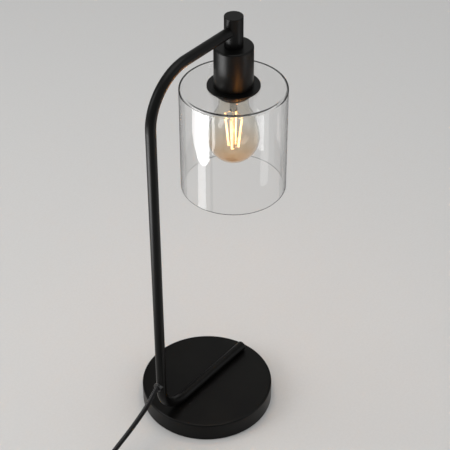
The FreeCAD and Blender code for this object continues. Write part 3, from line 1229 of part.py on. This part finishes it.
def main():
    os.makedirs("parts", exist_ok=True)
    pieces = {
        "base_cover": base_cover(),
        "base_weight": base_weight(),
        "base_pad": base_pad(),
        "base_washers": base_washers(),
        "base_screws": base_screws(),
        "leg_nuts": leg_nuts(),
        "frame_tube": frame_tube(),
        "leg_end_plug": leg_end_plug(),
        "cord_bush": cord_bush(),
        "head_post": head_post(),
        "hollow_nipple": hollow_nipple(),
        "nipple_washer": nipple_washer(),
        "nipple_nut": nipple_nut(),
        "holder_cup": holder_cup(),
        "holder_cap": holder_cap(),
        "holder_core": holder_core(),
        "holder_sleeve": holder_sleeve(),
        "screw_shell": screw_shell(),
        "centre_contact": centre_contact(),
        "side_contact": side_contact(),
        "holder_terminals": holder_terminals(),
        "terminal_screws": terminal_screws(),
        "upper_shade_ring": upper_shade_ring(),
        "lower_shade_ring": lower_shade_ring(),
        "shade_gasket": shade_gasket(),
        "glass_shade": glass_shade(),
        "bulb_cap": bulb_cap(),
        "bulb_insulator": bulb_insulator(),
        "bulb_contact": bulb_contact(),
        "bulb_driver": bulb_driver(),
        "bulb_envelope": bulb_envelope(),
        "bulb_stem": bulb_stem(),
        "bulb_filaments": bulb_filaments(),
        "bulb_wires": bulb_wires(),
        "live_core": inner_core(1),
        "neutral_core": inner_core(-1),
        "cord_lead": cord_piece(lead_points(), "cord_lead"),
        "switch_base": switch_base(),
        "switch_cover": switch_cover(),
        "switch_rocker": switch_rocker(),
        "switch_leaf": switch_leaf(),
        "switch_terminals": switch_terminals(),
        "switch_screws": switch_screws(),
        "switch_reliefs": switch_reliefs(),
        "switch_cords": switch_cords(),
        "cord_mid": cord_piece(mid_points(), "cord_mid"),
        "cord_coil": cord_coil(),
        "coil_tie": coil_tie(),
        "cord_tail": cord_piece(tail_points(), "cord_tail"),
        "plug_relief": plug_relief(),
        "plug_body": plug_body(),
        "plug_pins": plug_pins(),
        "pin_sleeves": pin_sleeves(),
    }
    for node, shape in pieces.items():
        save(shape, node)


main()
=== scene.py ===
"""Table lamp with a bent-tube frame, a clear glass shade and a filament bulb.

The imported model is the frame. This script gives every piece its finish, lays the
cord as a smooth spline, and sets the camera, the floor and the studio light.
"""
import json
import math

import bpy
from mathutils import Matrix, Vector


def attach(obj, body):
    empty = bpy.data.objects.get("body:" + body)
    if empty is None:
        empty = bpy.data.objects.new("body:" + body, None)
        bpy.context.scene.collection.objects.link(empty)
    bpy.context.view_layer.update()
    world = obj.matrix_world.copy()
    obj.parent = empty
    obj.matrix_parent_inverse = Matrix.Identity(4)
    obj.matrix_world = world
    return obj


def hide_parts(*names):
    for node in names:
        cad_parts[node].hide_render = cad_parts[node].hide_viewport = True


MM = 0.001
# A noise seldom leaves this part of 0 to 1, so its two colours lie here
NOISE_ENDS = (0.35, 0.65)

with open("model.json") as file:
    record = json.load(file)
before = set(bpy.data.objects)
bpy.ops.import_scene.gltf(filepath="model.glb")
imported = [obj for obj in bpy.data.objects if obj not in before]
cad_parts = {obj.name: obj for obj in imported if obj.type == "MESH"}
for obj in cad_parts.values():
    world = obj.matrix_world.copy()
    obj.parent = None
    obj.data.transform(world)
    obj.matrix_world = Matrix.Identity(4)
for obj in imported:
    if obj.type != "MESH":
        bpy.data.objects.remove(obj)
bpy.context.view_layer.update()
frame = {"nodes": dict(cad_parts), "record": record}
nodes = frame["nodes"]
scene = bpy.context.scene


def linear(hex_colour):
    """An sRGB hex colour as linear RGBA."""
    channels = [int(hex_colour[i:i + 2], 16) / 255 for i in (1, 3, 5)]
    return tuple(c / 12.92 if c <= 0.04045 else ((c + 0.055) / 1.055) ** 2.4
                 for c in channels) + (1.0,)


def add(tree, kind, settings=None, links=None):
    """Adds one node. Settings holds its properties and socket values, links what feeds its sockets."""
    node = tree.nodes.new(kind)
    for name, value in (settings or {}).items():
        if isinstance(name, str) and hasattr(node, name):
            setattr(node, name, value)
        else:
            node.inputs[name].default_value = value
    for name, source in (links or {}).items():
        tree.links.new(source, node.inputs[name])
    return node


def blank(name):
    """A new material with an empty node tree and its object coordinates, in metres."""
    made = bpy.data.materials.new(name)
    made.use_nodes = True
    tree = made.node_tree
    tree.nodes.clear()
    place = add(tree, "ShaderNodeTexCoord").outputs["Object"]
    return made, tree, place


def noise(tree, place, size_mm, detail):
    """A noise from 0 to 1 whose patches have the given size."""
    pattern = add(tree, "ShaderNodeTexNoise", {"Scale": 1 / (size_mm * MM), "Detail": detail},
                  {"Vector": place})
    return pattern.outputs["Fac"]


def ramped(tree, value, colours, ends=(0.0, 1.0)):
    """The colour that a value gives between two colours, which lie at the two ends."""
    ramp = add(tree, "ShaderNodeValToRGB", links={"Fac": value})
    for element, at, colour in zip(ramp.color_ramp.elements, ends, colours):
        element.position = at
        element.color = linear(colour)
    return ramp.outputs["Color"]


def mottled(tree, place, size_mm, colours, detail=3.0):
    """A noise of the given size, and the colour it gives between the two colours."""
    patches = noise(tree, place, size_mm, detail)
    return patches, ramped(tree, patches, colours, NOISE_ENDS)


def between(tree, value, low, high):
    """A value from 0 to 1 mapped to low to high."""
    mapped = add(tree, "ShaderNodeMapRange", {"To Min": low, "To Max": high}, {"Value": value})
    return mapped.outputs["Result"]


def raised(tree, height, depth_mm, strength=1.0):
    """The surface normal with a height pattern of the given depth on it."""
    bump = add(tree, "ShaderNodeBump", {"Strength": strength, "Distance": depth_mm * MM},
               {"Height": height})
    return bump.outputs["Normal"]


def surface(tree, settings, links):
    """A Principled shader, led to the material's output."""
    shader = add(tree, "ShaderNodeBsdfPrincipled", settings, links)
    add(tree, "ShaderNodeOutputMaterial", links={"Surface": shader.outputs["BSDF"]})


def plain_finish(name, size_mm, colours, roughness, depth_mm, settings=None):
    """A finish whose colour, gloss and relief all vary with one noise of a real size."""
    made, tree, place = blank(name)
    grain, colour = mottled(tree, place, size_mm, colours)
    surface(tree, settings or {}, {"Base Color": colour, "Roughness": between(tree, grain, *roughness),
                                   "Normal": raised(tree, grain, depth_mm)})
    return made


# Satin black powder coat on steel: baked powder leaves a faint orange peel of 1 to 2 mm, so
# highlights are soft-edged and a little uneven, and the black is never quite even
def powder_coat():
    made, tree, place = blank("satin_black_powder_coat")
    peel = noise(tree, place, 1.4, 2.0)
    cloud, colour = mottled(tree, place, 38.0, ("#060606", "#0B0B0A"), 4.0)
    rough = between(tree, cloud, 0.28, 0.4)
    surface(tree, {"Specular IOR Level": 0.15}, {"Base Color": colour, "Roughness": rough,
                                                 "Normal": raised(tree, peel, 0.01)})
    return made


# Sand-cast grey iron: dark, dull and coarse, with rust-brown specks from the mould
def cast_iron():
    made, tree, place = blank("sand_cast_iron")
    grit, colour = mottled(tree, place, 2.2, ("#2A2724", "#4A4744"), 6.0)
    rust = between(tree, noise(tree, place, 14.0, 5.0), -0.6, 0.9)
    colour = add(tree, "ShaderNodeMix", {"data_type": "RGBA", 7: linear("#5B3A26")}, {0: rust, 6: colour})
    surface(tree, {"Metallic": 0.6}, {"Base Color": colour.outputs[2],
                                      "Roughness": between(tree, grit, 0.6, 0.9),
                                      "Normal": raised(tree, grit, 0.25)})
    return made


# Brushed metal, turned on a lathe: fine rings round the upright axis
def turned_metal(name, colours, roughness):
    made, tree, place = blank(name)
    stretch = add(tree, "ShaderNodeMapping", {"Scale": (0.05, 0.05, 1.0)}, {"Vector": place})
    rings = noise(tree, stretch.outputs["Vector"], 0.35, 2.0)
    tarnish, colour = mottled(tree, place, 6.0, colours, 4.0)
    surface(tree, {"Metallic": 1.0}, {"Base Color": colour,
                                      "Roughness": between(tree, tarnish, *roughness),
                                      "Normal": raised(tree, rings, 0.01, 0.5)})
    return made


# Clear glass. Lamps shine through it, so it throws no solid shadow, and light caught inside a wall
# leaves it after GLASS_TURNS turns, as it does at the rims. What the glass soaks up is set for each metre
# of it, so a wall shows grey only where it is seen edge-on
GLASS_TURNS = 6.0
GLASS_WAVE_MM = 0.02


def clear_glass(name, ior, wave_mm, soaks_up, density, colour=None):
    made, tree, place = blank(name)
    links = {"Normal": raised(tree, noise(tree, place, wave_mm, 1.0), GLASS_WAVE_MM, 0.4)}
    if colour:
        links["Base Color"] = colour(tree, place)
    shader = add(tree, "ShaderNodeBsdfPrincipled",
                 {"Base Color": linear("#FFFFFF"), "Roughness": 0.0, "IOR": ior,
                  "Transmission Weight": 1.0}, links)
    clear = add(tree, "ShaderNodeBsdfTransparent", {"Color": linear("#F8F8F7")})
    path = add(tree, "ShaderNodeLightPath")
    piped = add(tree, "ShaderNodeMath", {"operation": "GREATER_THAN", 1: GLASS_TURNS},
                {0: path.outputs["Transmission Depth"]})
    passed = add(tree, "ShaderNodeMath", {"operation": "MAXIMUM"},
                 {0: path.outputs["Is Shadow Ray"], 1: piped.outputs[0]})
    both = add(tree, "ShaderNodeMixShader", links={0: passed.outputs[0], 1: shader.outputs["BSDF"],
                                                  2: clear.outputs["BSDF"]})
    inside = add(tree, "ShaderNodeVolumeAbsorption", {"Color": linear(soaks_up), "Density": density})
    add(tree, "ShaderNodeOutputMaterial",
        links={"Surface": both.outputs["Shader"], "Volume": inside.outputs[0]})
    return made


# The bulb's glass is tinted amber at its foot, a painted glow of its lit filaments, and fades to clear
# glass above it.
# Both heights are in metres, with the bulb in its holder
PAINTED_GLOW_UP_TO = 0.308
CLEAR_FROM = 0.342


def painted_glow_foot(tree, place):
    height = add(tree, "ShaderNodeSeparateXYZ", links={"Vector": place}).outputs["Z"]
    rise = add(tree, "ShaderNodeMapRange", {"From Min": PAINTED_GLOW_UP_TO, "From Max": CLEAR_FROM},
               {"Value": height})
    # Painted filament glow: amber base colour low on the bulb, clear glass colour above it
    return ramped(tree, rise.outputs["Result"], ("#F7CB90", "#FFFDF8"))


# Lit filament sticks: phosphor resin on a thin strip, so bright that it bleaches to warm white,
# with its warm tone varying a little in small patches
def filament():
    made, tree, place = blank("lit_phosphor_filament")
    _, colour = mottled(tree, place, 2.0, ("#FFD9A0", "#FFE9C8"), 2.0)
    surface(tree, {"Roughness": 0.6, "Emission Strength": 1.15},
            {"Base Color": colour, "Emission Color": colour})
    return made


# PVC cord sheath: extruded, so it is smooth and glossy, and only faintly uneven
def cord_sheath():
    made, tree, place = blank("extruded_pvc_sheath")
    drag, colour = mottled(tree, place, 3.0, ("#0B0B0C", "#161617"))
    surface(tree, {"Specular IOR Level": 0.25}, {"Base Color": colour,
                                                 "Roughness": between(tree, drag, 0.18, 0.28),
                                                 "Normal": raised(tree, drag, 0.02)})
    return made


# Circuit board: green solder mask over a woven glass laminate
def circuit_board():
    made, tree, place = blank("fr4_circuit_board")
    weave = add(tree, "ShaderNodeTexWave", {"Scale": 1 / (1.2 * MM), "Distortion": 0.4}, {"Vector": place})
    _, colour = mottled(tree, place, 4.0, ("#123F26", "#1C5A37"))
    surface(tree, {"Coat Weight": 0.4}, {"Base Color": colour,
                                         "Roughness": between(tree, weave.outputs["Fac"], 0.35, 0.5),
                                         "Normal": raised(tree, weave.outputs["Fac"], 0.02)})
    return made


# Hook-and-loop strap: a nylon weave about 0.6 mm apart, drawn a little coarser so that it shows
STRAP_WAVES = 0.16 / (1.0 * MM)


def strap_weave():
    made, tree, place = blank("woven_nylon_strap")
    across, along = (add(tree, "ShaderNodeTexWave", {"Scale": STRAP_WAVES, "bands_direction": way},
                         {"Vector": place}) for way in ("X", "Z"))
    weave = add(tree, "ShaderNodeMath", {"operation": "MULTIPLY"},
                {0: across.outputs["Fac"], 1: along.outputs["Fac"]}).outputs[0]
    surface(tree, {"Sheen Weight": 0.35, "Roughness": 0.85},
            {"Base Color": ramped(tree, weave, ("#0E0E10", "#232326")), "Normal": raised(tree, weave, 0.2)})
    return made


FINISHES = {
    "black_paint": powder_coat(),
    "cast_iron": cast_iron(),
    # EVA foam pad: dull and closed-celled
    "pad_black": plain_finish("eva_foam_pad", 0.9, ("#141414", "#232323"), (0.85, 0.98), 0.08),
    # Bright zinc on steel: bluish, with cloudy passivation
    "zinc_steel": turned_metal("bright_zinc_plate", ("#AEB4B8", "#D2D6D6"), (0.25, 0.42)),
    # Brass, turned and left bare, so its tone varies where it has been handled
    "brass": turned_metal("turned_brass", ("#B08A3C", "#D8B566"), (0.2, 0.36)),
    # Phosphor bronze spring strip, rolled
    "copper_alloy": turned_metal("rolled_phosphor_bronze", ("#9C6236", "#C88A58"), (0.25, 0.4)),
    # Moulded nylon cord bush: polished in its mould, so its collar catches a small sharp highlight
    "bush_black": plain_finish("polished_black_nylon", 1.0, ("#0B0B0C", "#141415"), (0.06, 0.12), 0.004),
    # Moulded black PBT: an even half-gloss with a trace of spark-eroded texture
    "black_plastic": plain_finish("moulded_black_pbt", 0.8, ("#0D0D0E", "#171718"), (0.34, 0.46), 0.015),
    # Glazed steatite: a warm white glaze over a fine body, with pinholes
    "ceramic_white": plain_finish("glazed_steatite", 2.5, ("#DCD8CE", "#EFECE4"), (0.18, 0.32), 0.03,
                                  {"Coat Weight": 0.3}),
    # Silicone seal: milky and soft
    "gasket": plain_finish("milky_silicone", 1.5, ("#C9CBC8", "#DDDEDB"), (0.45, 0.6), 0.02,
                           {"Subsurface Weight": 0.2, "Subsurface Scale": 0.001}),
    # Drawn soda-lime tube with fire-polished rims: a trace of grey where the wall is seen edge-on
    "clear_glass": clear_glass("drawn_clear_glass", 1.51, 60.0, "#A8A6A4", 22.0),
    # Blown bulb glass, under a millimetre thick, so only its outline and its reflections show. Its foot is
    # tinted with a painted amber glow of the lit filaments
    "bulb_glass": clear_glass("blown_bulb_glass", 1.47, 18.0, "#A8A29A", 50.0, painted_glow_foot),
    # Nickel-plated aluminium cap, rolled to its thread
    "bulb_cap_metal": turned_metal("nickel_plated_cap", ("#B9B7B0", "#DAD8D2"), (0.16, 0.3)),
    # Black glass in the foot of the cap, pressed, so it is glossy
    "bulb_black_glass": plain_finish("black_cap_glass", 1.2, ("#0A0908", "#191614"), (0.12, 0.25), 0.02),
    # Tin solder, cooled in the air: a soft grey shine with faint hollows
    "solder": plain_finish("tin_solder", 1.6, ("#9FA2A3", "#C4C7C8"), (0.25, 0.45), 0.05,
                           {"Metallic": 1.0}),
    "circuit_board": circuit_board(),
    "filament": filament(),
    # Nickel wire, drawn through a die: bright, with a yellowish cast
    "wire_metal": plain_finish("drawn_nickel_wire", 0.8, ("#A9A49A", "#CFCBC2"), (0.2, 0.35), 0.01,
                               {"Metallic": 1.0}),
    # PVC cores of the mains lead, in the colours for neutral and live
    "core_brown": plain_finish("brown_pvc_core", 2.0, ("#4A2A19", "#5C3722"), (0.35, 0.5), 0.01),
    "core_blue": plain_finish("blue_pvc_core", 2.0, ("#1C4A86", "#2A5C9C"), (0.35, 0.5), 0.01),
    "cord_black": cord_sheath(),
    # Moulded black ABS with a fine spark-eroded grain of about 0.5 mm
    "switch_black": plain_finish("spark_grained_abs", 0.6, ("#101011", "#1C1C1D"), (0.42, 0.58), 0.03),
    "strap_black": strap_weave(),
}

for row in frame["record"]["subparts"]:
    skin = nodes[row["node"]].data
    skin.materials.clear()
    skin.materials.append(FINISHES[row["material_slot"]])


# Cord: one sheath from the stem to the switch, another from the switch through the coil to the plug
CORD_RADIUS = 2.7 * MM
SWITCH_X = -186.0
CORD_IN_SWITCH = 6.5
CORD_ROUNDING = 5
STEPS_TO_A_POINT = 8

LEAD_ROUTE = [
    (-81.212, 0.0, 78.251), (-90.222, 0.0, 71.942), (-98.5, -0.5, 65.2), (-108.0, 1.2, 55.2),
    (-118.0, 4.6, 43.5), (-126.8, 8.2, 32.6), (-137.5, 12.6, 20.5), (-150.0, 15.2, 11.0),
    (-162.0, 13.7, 5.2), (-173.3, 7.2, 2.75), (-181.8, -4.0, 3.1), (SWITCH_X, -16.0, CORD_IN_SWITCH),
    (SWITCH_X, -29.0, CORD_IN_SWITCH), (SWITCH_X, -58.5, CORD_IN_SWITCH),
]
ROUTE_TO_COIL = [
    (SWITCH_X, -104.5, CORD_IN_SWITCH), (SWITCH_X, -134.0, CORD_IN_SWITCH),
    (SWITCH_X, -150.0, CORD_IN_SWITCH), (-177.5, -164.7, 5.2), (-162.8, -173.2, 4.05),
]
ROUTE_TO_PLUG = [
    (-119.4, -170.15, 22.35), (-105.5, -162.0, 18.4), (-97.5, -148.2, 12.4),
    (-97.2, -132.0, 7.0), (-97.2, -119.0, 7.0), (-97.2, -108.0, 7.0),
]
COIL_CENTRE = (-141.4, -138.2)
COIL_RADIUS = 35.0
COIL_STEP = 6.1
COIL_LOW = 4.05
COIL_TUCK = 1.0
COIL_HALF_TURNS = (4, 3, 3, 3)
POINTS_A_QUARTER = 4


def coil_quarters():
    """Radius change and rise of each quarter turn. A layer is wound in, the next out over it, and so on."""
    quarters = []
    outward = -1
    for layer, half_turns in enumerate(COIL_HALF_TURNS):
        if layer:
            quarters += [(-outward * COIL_TUCK, COIL_STEP / 2), (outward * COIL_TUCK, COIL_STEP / 2)]
        quarters += [(outward * COIL_STEP / 4, 0.0)] * (2 * half_turns)
        outward = -outward
    return quarters


def coil_route():
    """Control points of the coil's turns, on the corners of a frame that its circle touches."""
    step = math.pi / 2 / POINTS_A_QUARTER
    stretch = 1 / math.cos(step / 2)
    radius, height, angle = COIL_RADIUS, COIL_LOW, -math.pi / 2
    points = []
    for change, rise in coil_quarters():
        for index in range(POINTS_A_QUARTER):
            share = (index + 0.5) / POINTS_A_QUARTER
            reach = (radius + change * share) * stretch
            turned = angle + step * (index + 0.5)
            points.append((COIL_CENTRE[0] + reach * math.cos(turned),
                           COIL_CENTRE[1] + reach * math.sin(turned), height + rise * share))
        radius, height, angle = radius + change, height + rise, angle + math.pi / 2
    return points


def lay_cord(name, route):
    """A round cord along a smooth spline through its route, given in millimetres."""
    curve = bpy.data.curves.new(name, "CURVE")
    curve.dimensions = "3D"
    curve.bevel_depth = CORD_RADIUS
    curve.bevel_resolution = CORD_ROUNDING
    curve.resolution_u = STEPS_TO_A_POINT
    curve.use_fill_caps = True
    spline = curve.splines.new("NURBS")
    spline.points.add(len(route) - 1)
    for point, (x, y, z) in zip(spline.points, route):
        point.co = (x * MM, y * MM, z * MM, 1.0)
    spline.order_u = 3
    spline.use_endpoint_u = True
    cord = bpy.data.objects.new(name, curve)
    scene.collection.objects.link(cord)
    cord.data.materials.append(FINISHES["cord_black"])
    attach(cord, "lamp")
    return cord


lead = lay_cord("cord_to_switch", LEAD_ROUTE)
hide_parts("cord_lead", "switch_cords")

long_cord = lay_cord("cord_to_plug", ROUTE_TO_COIL + coil_route() + ROUTE_TO_PLUG)
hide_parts("cord_mid", "cord_coil", "cord_tail")


# Studio: a pale floor that keeps the lamp's shadow, an even surround, and a dark board out of view on
# each side, which glass and black metal reflect near their edges
def pale_floor():
    made, tree, place = blank("pale_studio_floor")
    _, colour = mottled(tree, place, 3.0, ("#D6D5D3", "#D8D7D5"), 2.0)
    surface(tree, {"Roughness": 0.9, "Specular IOR Level": 0.0}, {"Base Color": colour})
    return made


FLOOR_HALF = 6.0
floor_mesh = bpy.data.meshes.new("studio_floor")
floor_mesh.from_pydata([(-FLOOR_HALF, -FLOOR_HALF, 0), (FLOOR_HALF, -FLOOR_HALF, 0),
                        (FLOOR_HALF, FLOOR_HALF, 0), (-FLOOR_HALF, FLOOR_HALF, 0)], [], [(0, 1, 2, 3)])
floor = bpy.data.objects.new("studio_floor", floor_mesh)
floor.data.materials.append(pale_floor())
scene.collection.objects.link(floor)

SHADE_AXIS = (0.049, 0.0)
BOARD_DISTANCE = 0.34
BOARD_WIDTH = 0.3
BOARD_HEIGHT = 0.5
BOARD_GREY = plain_finish("grey_felt_board", 2.0, ("#545454", "#5E5E5E"), (0.9, 1.0), 0.05)


def dark_board(name, direction):
    """An upright board that faces the shade from a direction in degrees, and shows only in gloss."""
    angle = math.radians(direction)
    middle = Vector((SHADE_AXIS[0] + BOARD_DISTANCE * math.cos(angle),
                     SHADE_AXIS[1] + BOARD_DISTANCE * math.sin(angle), 0.0))
    along = Vector((-math.sin(angle), math.cos(angle), 0.0)) * BOARD_WIDTH / 2
    rise = Vector((0.0, 0.0, BOARD_HEIGHT))
    mesh = bpy.data.meshes.new(name)
    mesh.from_pydata([middle - along, middle + along, middle + along + rise, middle - along + rise],
                     [], [(0, 1, 2, 3)])
    board = bpy.data.objects.new(name, mesh)
    board.data.materials.append(BOARD_GREY)
    board.visible_camera = False
    board.visible_diffuse = False
    board.visible_shadow = False
    board.visible_transmission = False
    scene.collection.objects.link(board)


dark_board("left_board", 80.0)
dark_board("right_board", 353.0)

world = bpy.data.worlds.new("studio_surround")
world.use_nodes = True
scene.world = world
sky = world.node_tree
sky.nodes.clear()
path = add(sky, "ShaderNodeLightPath")
seen = path.outputs["Is Camera Ray"]
for ray in ("Is Transmission Ray", "Is Glossy Ray"):
    seen = add(sky, "ShaderNodeMath", {"operation": "MAXIMUM"}, {0: seen, 1: path.outputs[ray]}).outputs[0]
lighting = add(sky, "ShaderNodeBackground", {"Color": linear("#F2F4F7"), "Strength": 0.5})
backdrop = add(sky, "ShaderNodeBackground", {"Color": linear("#BCBCBB"), "Strength": 1.0})
mixed = add(sky, "ShaderNodeMixShader", links={0: seen, 1: lighting.outputs["Background"],
                                               2: backdrop.outputs["Background"]})
add(sky, "ShaderNodeOutputWorld", links={"Surface": mixed.outputs["Shader"]})

# Camera, fitted to the photograph without a shift. Azimuth is from -Y, towards +X
AZIMUTH = math.radians(-51.284)
ELEVATION = math.radians(38.020)
ROLL = math.radians(-0.169)
CAMERA_AT = Vector((-0.8901, -0.7410, 1.1554))
FOCAL_PIXELS = 1382.4
IMAGE_PIXELS = 450
SENSOR_MM = 36.0

toward = Vector((math.sin(AZIMUTH) * math.cos(ELEVATION), -math.cos(AZIMUTH) * math.cos(ELEVATION),
                 math.sin(ELEVATION)))
level = Vector((math.cos(AZIMUTH), math.sin(AZIMUTH), 0.0))
upward = toward.cross(level)
right = level * math.cos(ROLL) + upward * math.sin(ROLL)
top = upward * math.cos(ROLL) - level * math.sin(ROLL)


def facing(side, head, back, place):
    """A placing matrix from its three axes and its place."""
    turned = Matrix((side, head, back)).transposed().to_4x4()
    return Matrix.Translation(place) @ turned


lens = bpy.data.cameras.new("photograph_view")
lens.sensor_width = SENSOR_MM
lens.lens = FOCAL_PIXELS / IMAGE_PIXELS * SENSOR_MM
camera = bpy.data.objects.new("photograph_view", lens)
camera.matrix_world = facing(right, top, toward, CAMERA_AT)
scene.collection.objects.link(camera)
scene.camera = camera


def softbox(name, place, aim, width, height, radiance, colour):
    """A rectangular lamp at place that faces aim. Without a grid, its face is as bright as radiance."""
    light = bpy.data.lights.new(name, "AREA")
    light.shape = "RECTANGLE"
    light.size = width
    light.size_y = height
    light.energy = radiance * math.pi * width * height
    light.color = linear(colour)[:3]
    lamp = bpy.data.objects.new(name, light)
    back = (Vector(place) - Vector(aim)).normalized()
    side = Vector((0, 0, 1)).cross(back).normalized()
    lamp.matrix_world = facing(side, back.cross(side), back, Vector(place))
    lamp.visible_camera = False
    scene.collection.objects.link(lamp)
    return lamp


SHADE_MIDDLE = (*SHADE_AXIS, 0.30)
softbox("key_softbox", (-1.3, 1.0, 1.1), SHADE_MIDDLE, 0.9, 1.2, 3.4, "#FFFFFF")
softbox("overhead_softbox", (0.1, 0.1, 2.2), (0.0, 0.0, 0.0), 1.6, 1.6, 1.8, "#FFFDFA")
softbox("right_fill", (0.7, -1.5, 0.9), SHADE_MIDDLE, 0.9, 1.2, 0.8, "#F6F9FF")
# Low gridded strips that only gloss shows, to the left for the bright streaks on glass, cup and post,
# and to the right for the faint one. Their grids keep them off the base, the cord and the floor. A
# grid narrows the beam and keeps its power, so straight ahead each is nearly eight times as bright
GRID_ANGLE = math.radians(70)
BULB_MIDDLE = (*SHADE_AXIS, 0.34)
HEAD_MIDDLE = (*SHADE_AXIS, 0.44)
streaks = [
    softbox("left_strip", (-0.301, 0.194, 0.1), BULB_MIDDLE, 0.13, 0.2, 0.6, "#FFFFFF"),
    softbox("left_panel", (-0.536, 0.213, 0.075), BULB_MIDDLE, 0.9, 0.14, 0.4, "#FFFFFF"),
    softbox("left_head_panel", (-0.397, 0.227, 0.09), HEAD_MIDDLE, 0.5, 0.13, 1.7, "#FFFFFF"),
    softbox("right_strip", (0.17, -0.485, 0.12), BULB_MIDDLE, 0.16, 0.24, 0.28, "#FFFFFF"),
]
for strip in streaks:
    strip.data.spread = GRID_ANGLE
    strip.visible_diffuse = False
    strip.visible_transmission = False


def bulb_light(name, place, watts, radius, colour):
    """A small round lamp inside the shade, which shows in gloss but not straight or through glass."""
    light = bpy.data.lights.new(name, "POINT")
    light.energy = watts
    light.shadow_soft_size = radius
    light.color = linear(colour)[:3]
    lamp = bpy.data.objects.new(name, light)
    lamp.location = place
    lamp.visible_camera = False
    lamp.visible_transmission = False
    scene.collection.objects.link(lamp)
    return lamp


# The filaments' own light, and their image in the front of the shade, which warms the cup's foot.
# Both stay where they are when the bulb is taken out
bulb_light("filament_glow", (*SHADE_AXIS, 0.345), 0.35, 0.008, "#FFC076")
returned = bulb_light("returned_glow", (0.024, -0.043, 0.388), 0.16, 0.004, "#FFA54A")
returned.visible_diffuse = False

scene.view_settings.view_transform = "Standard"
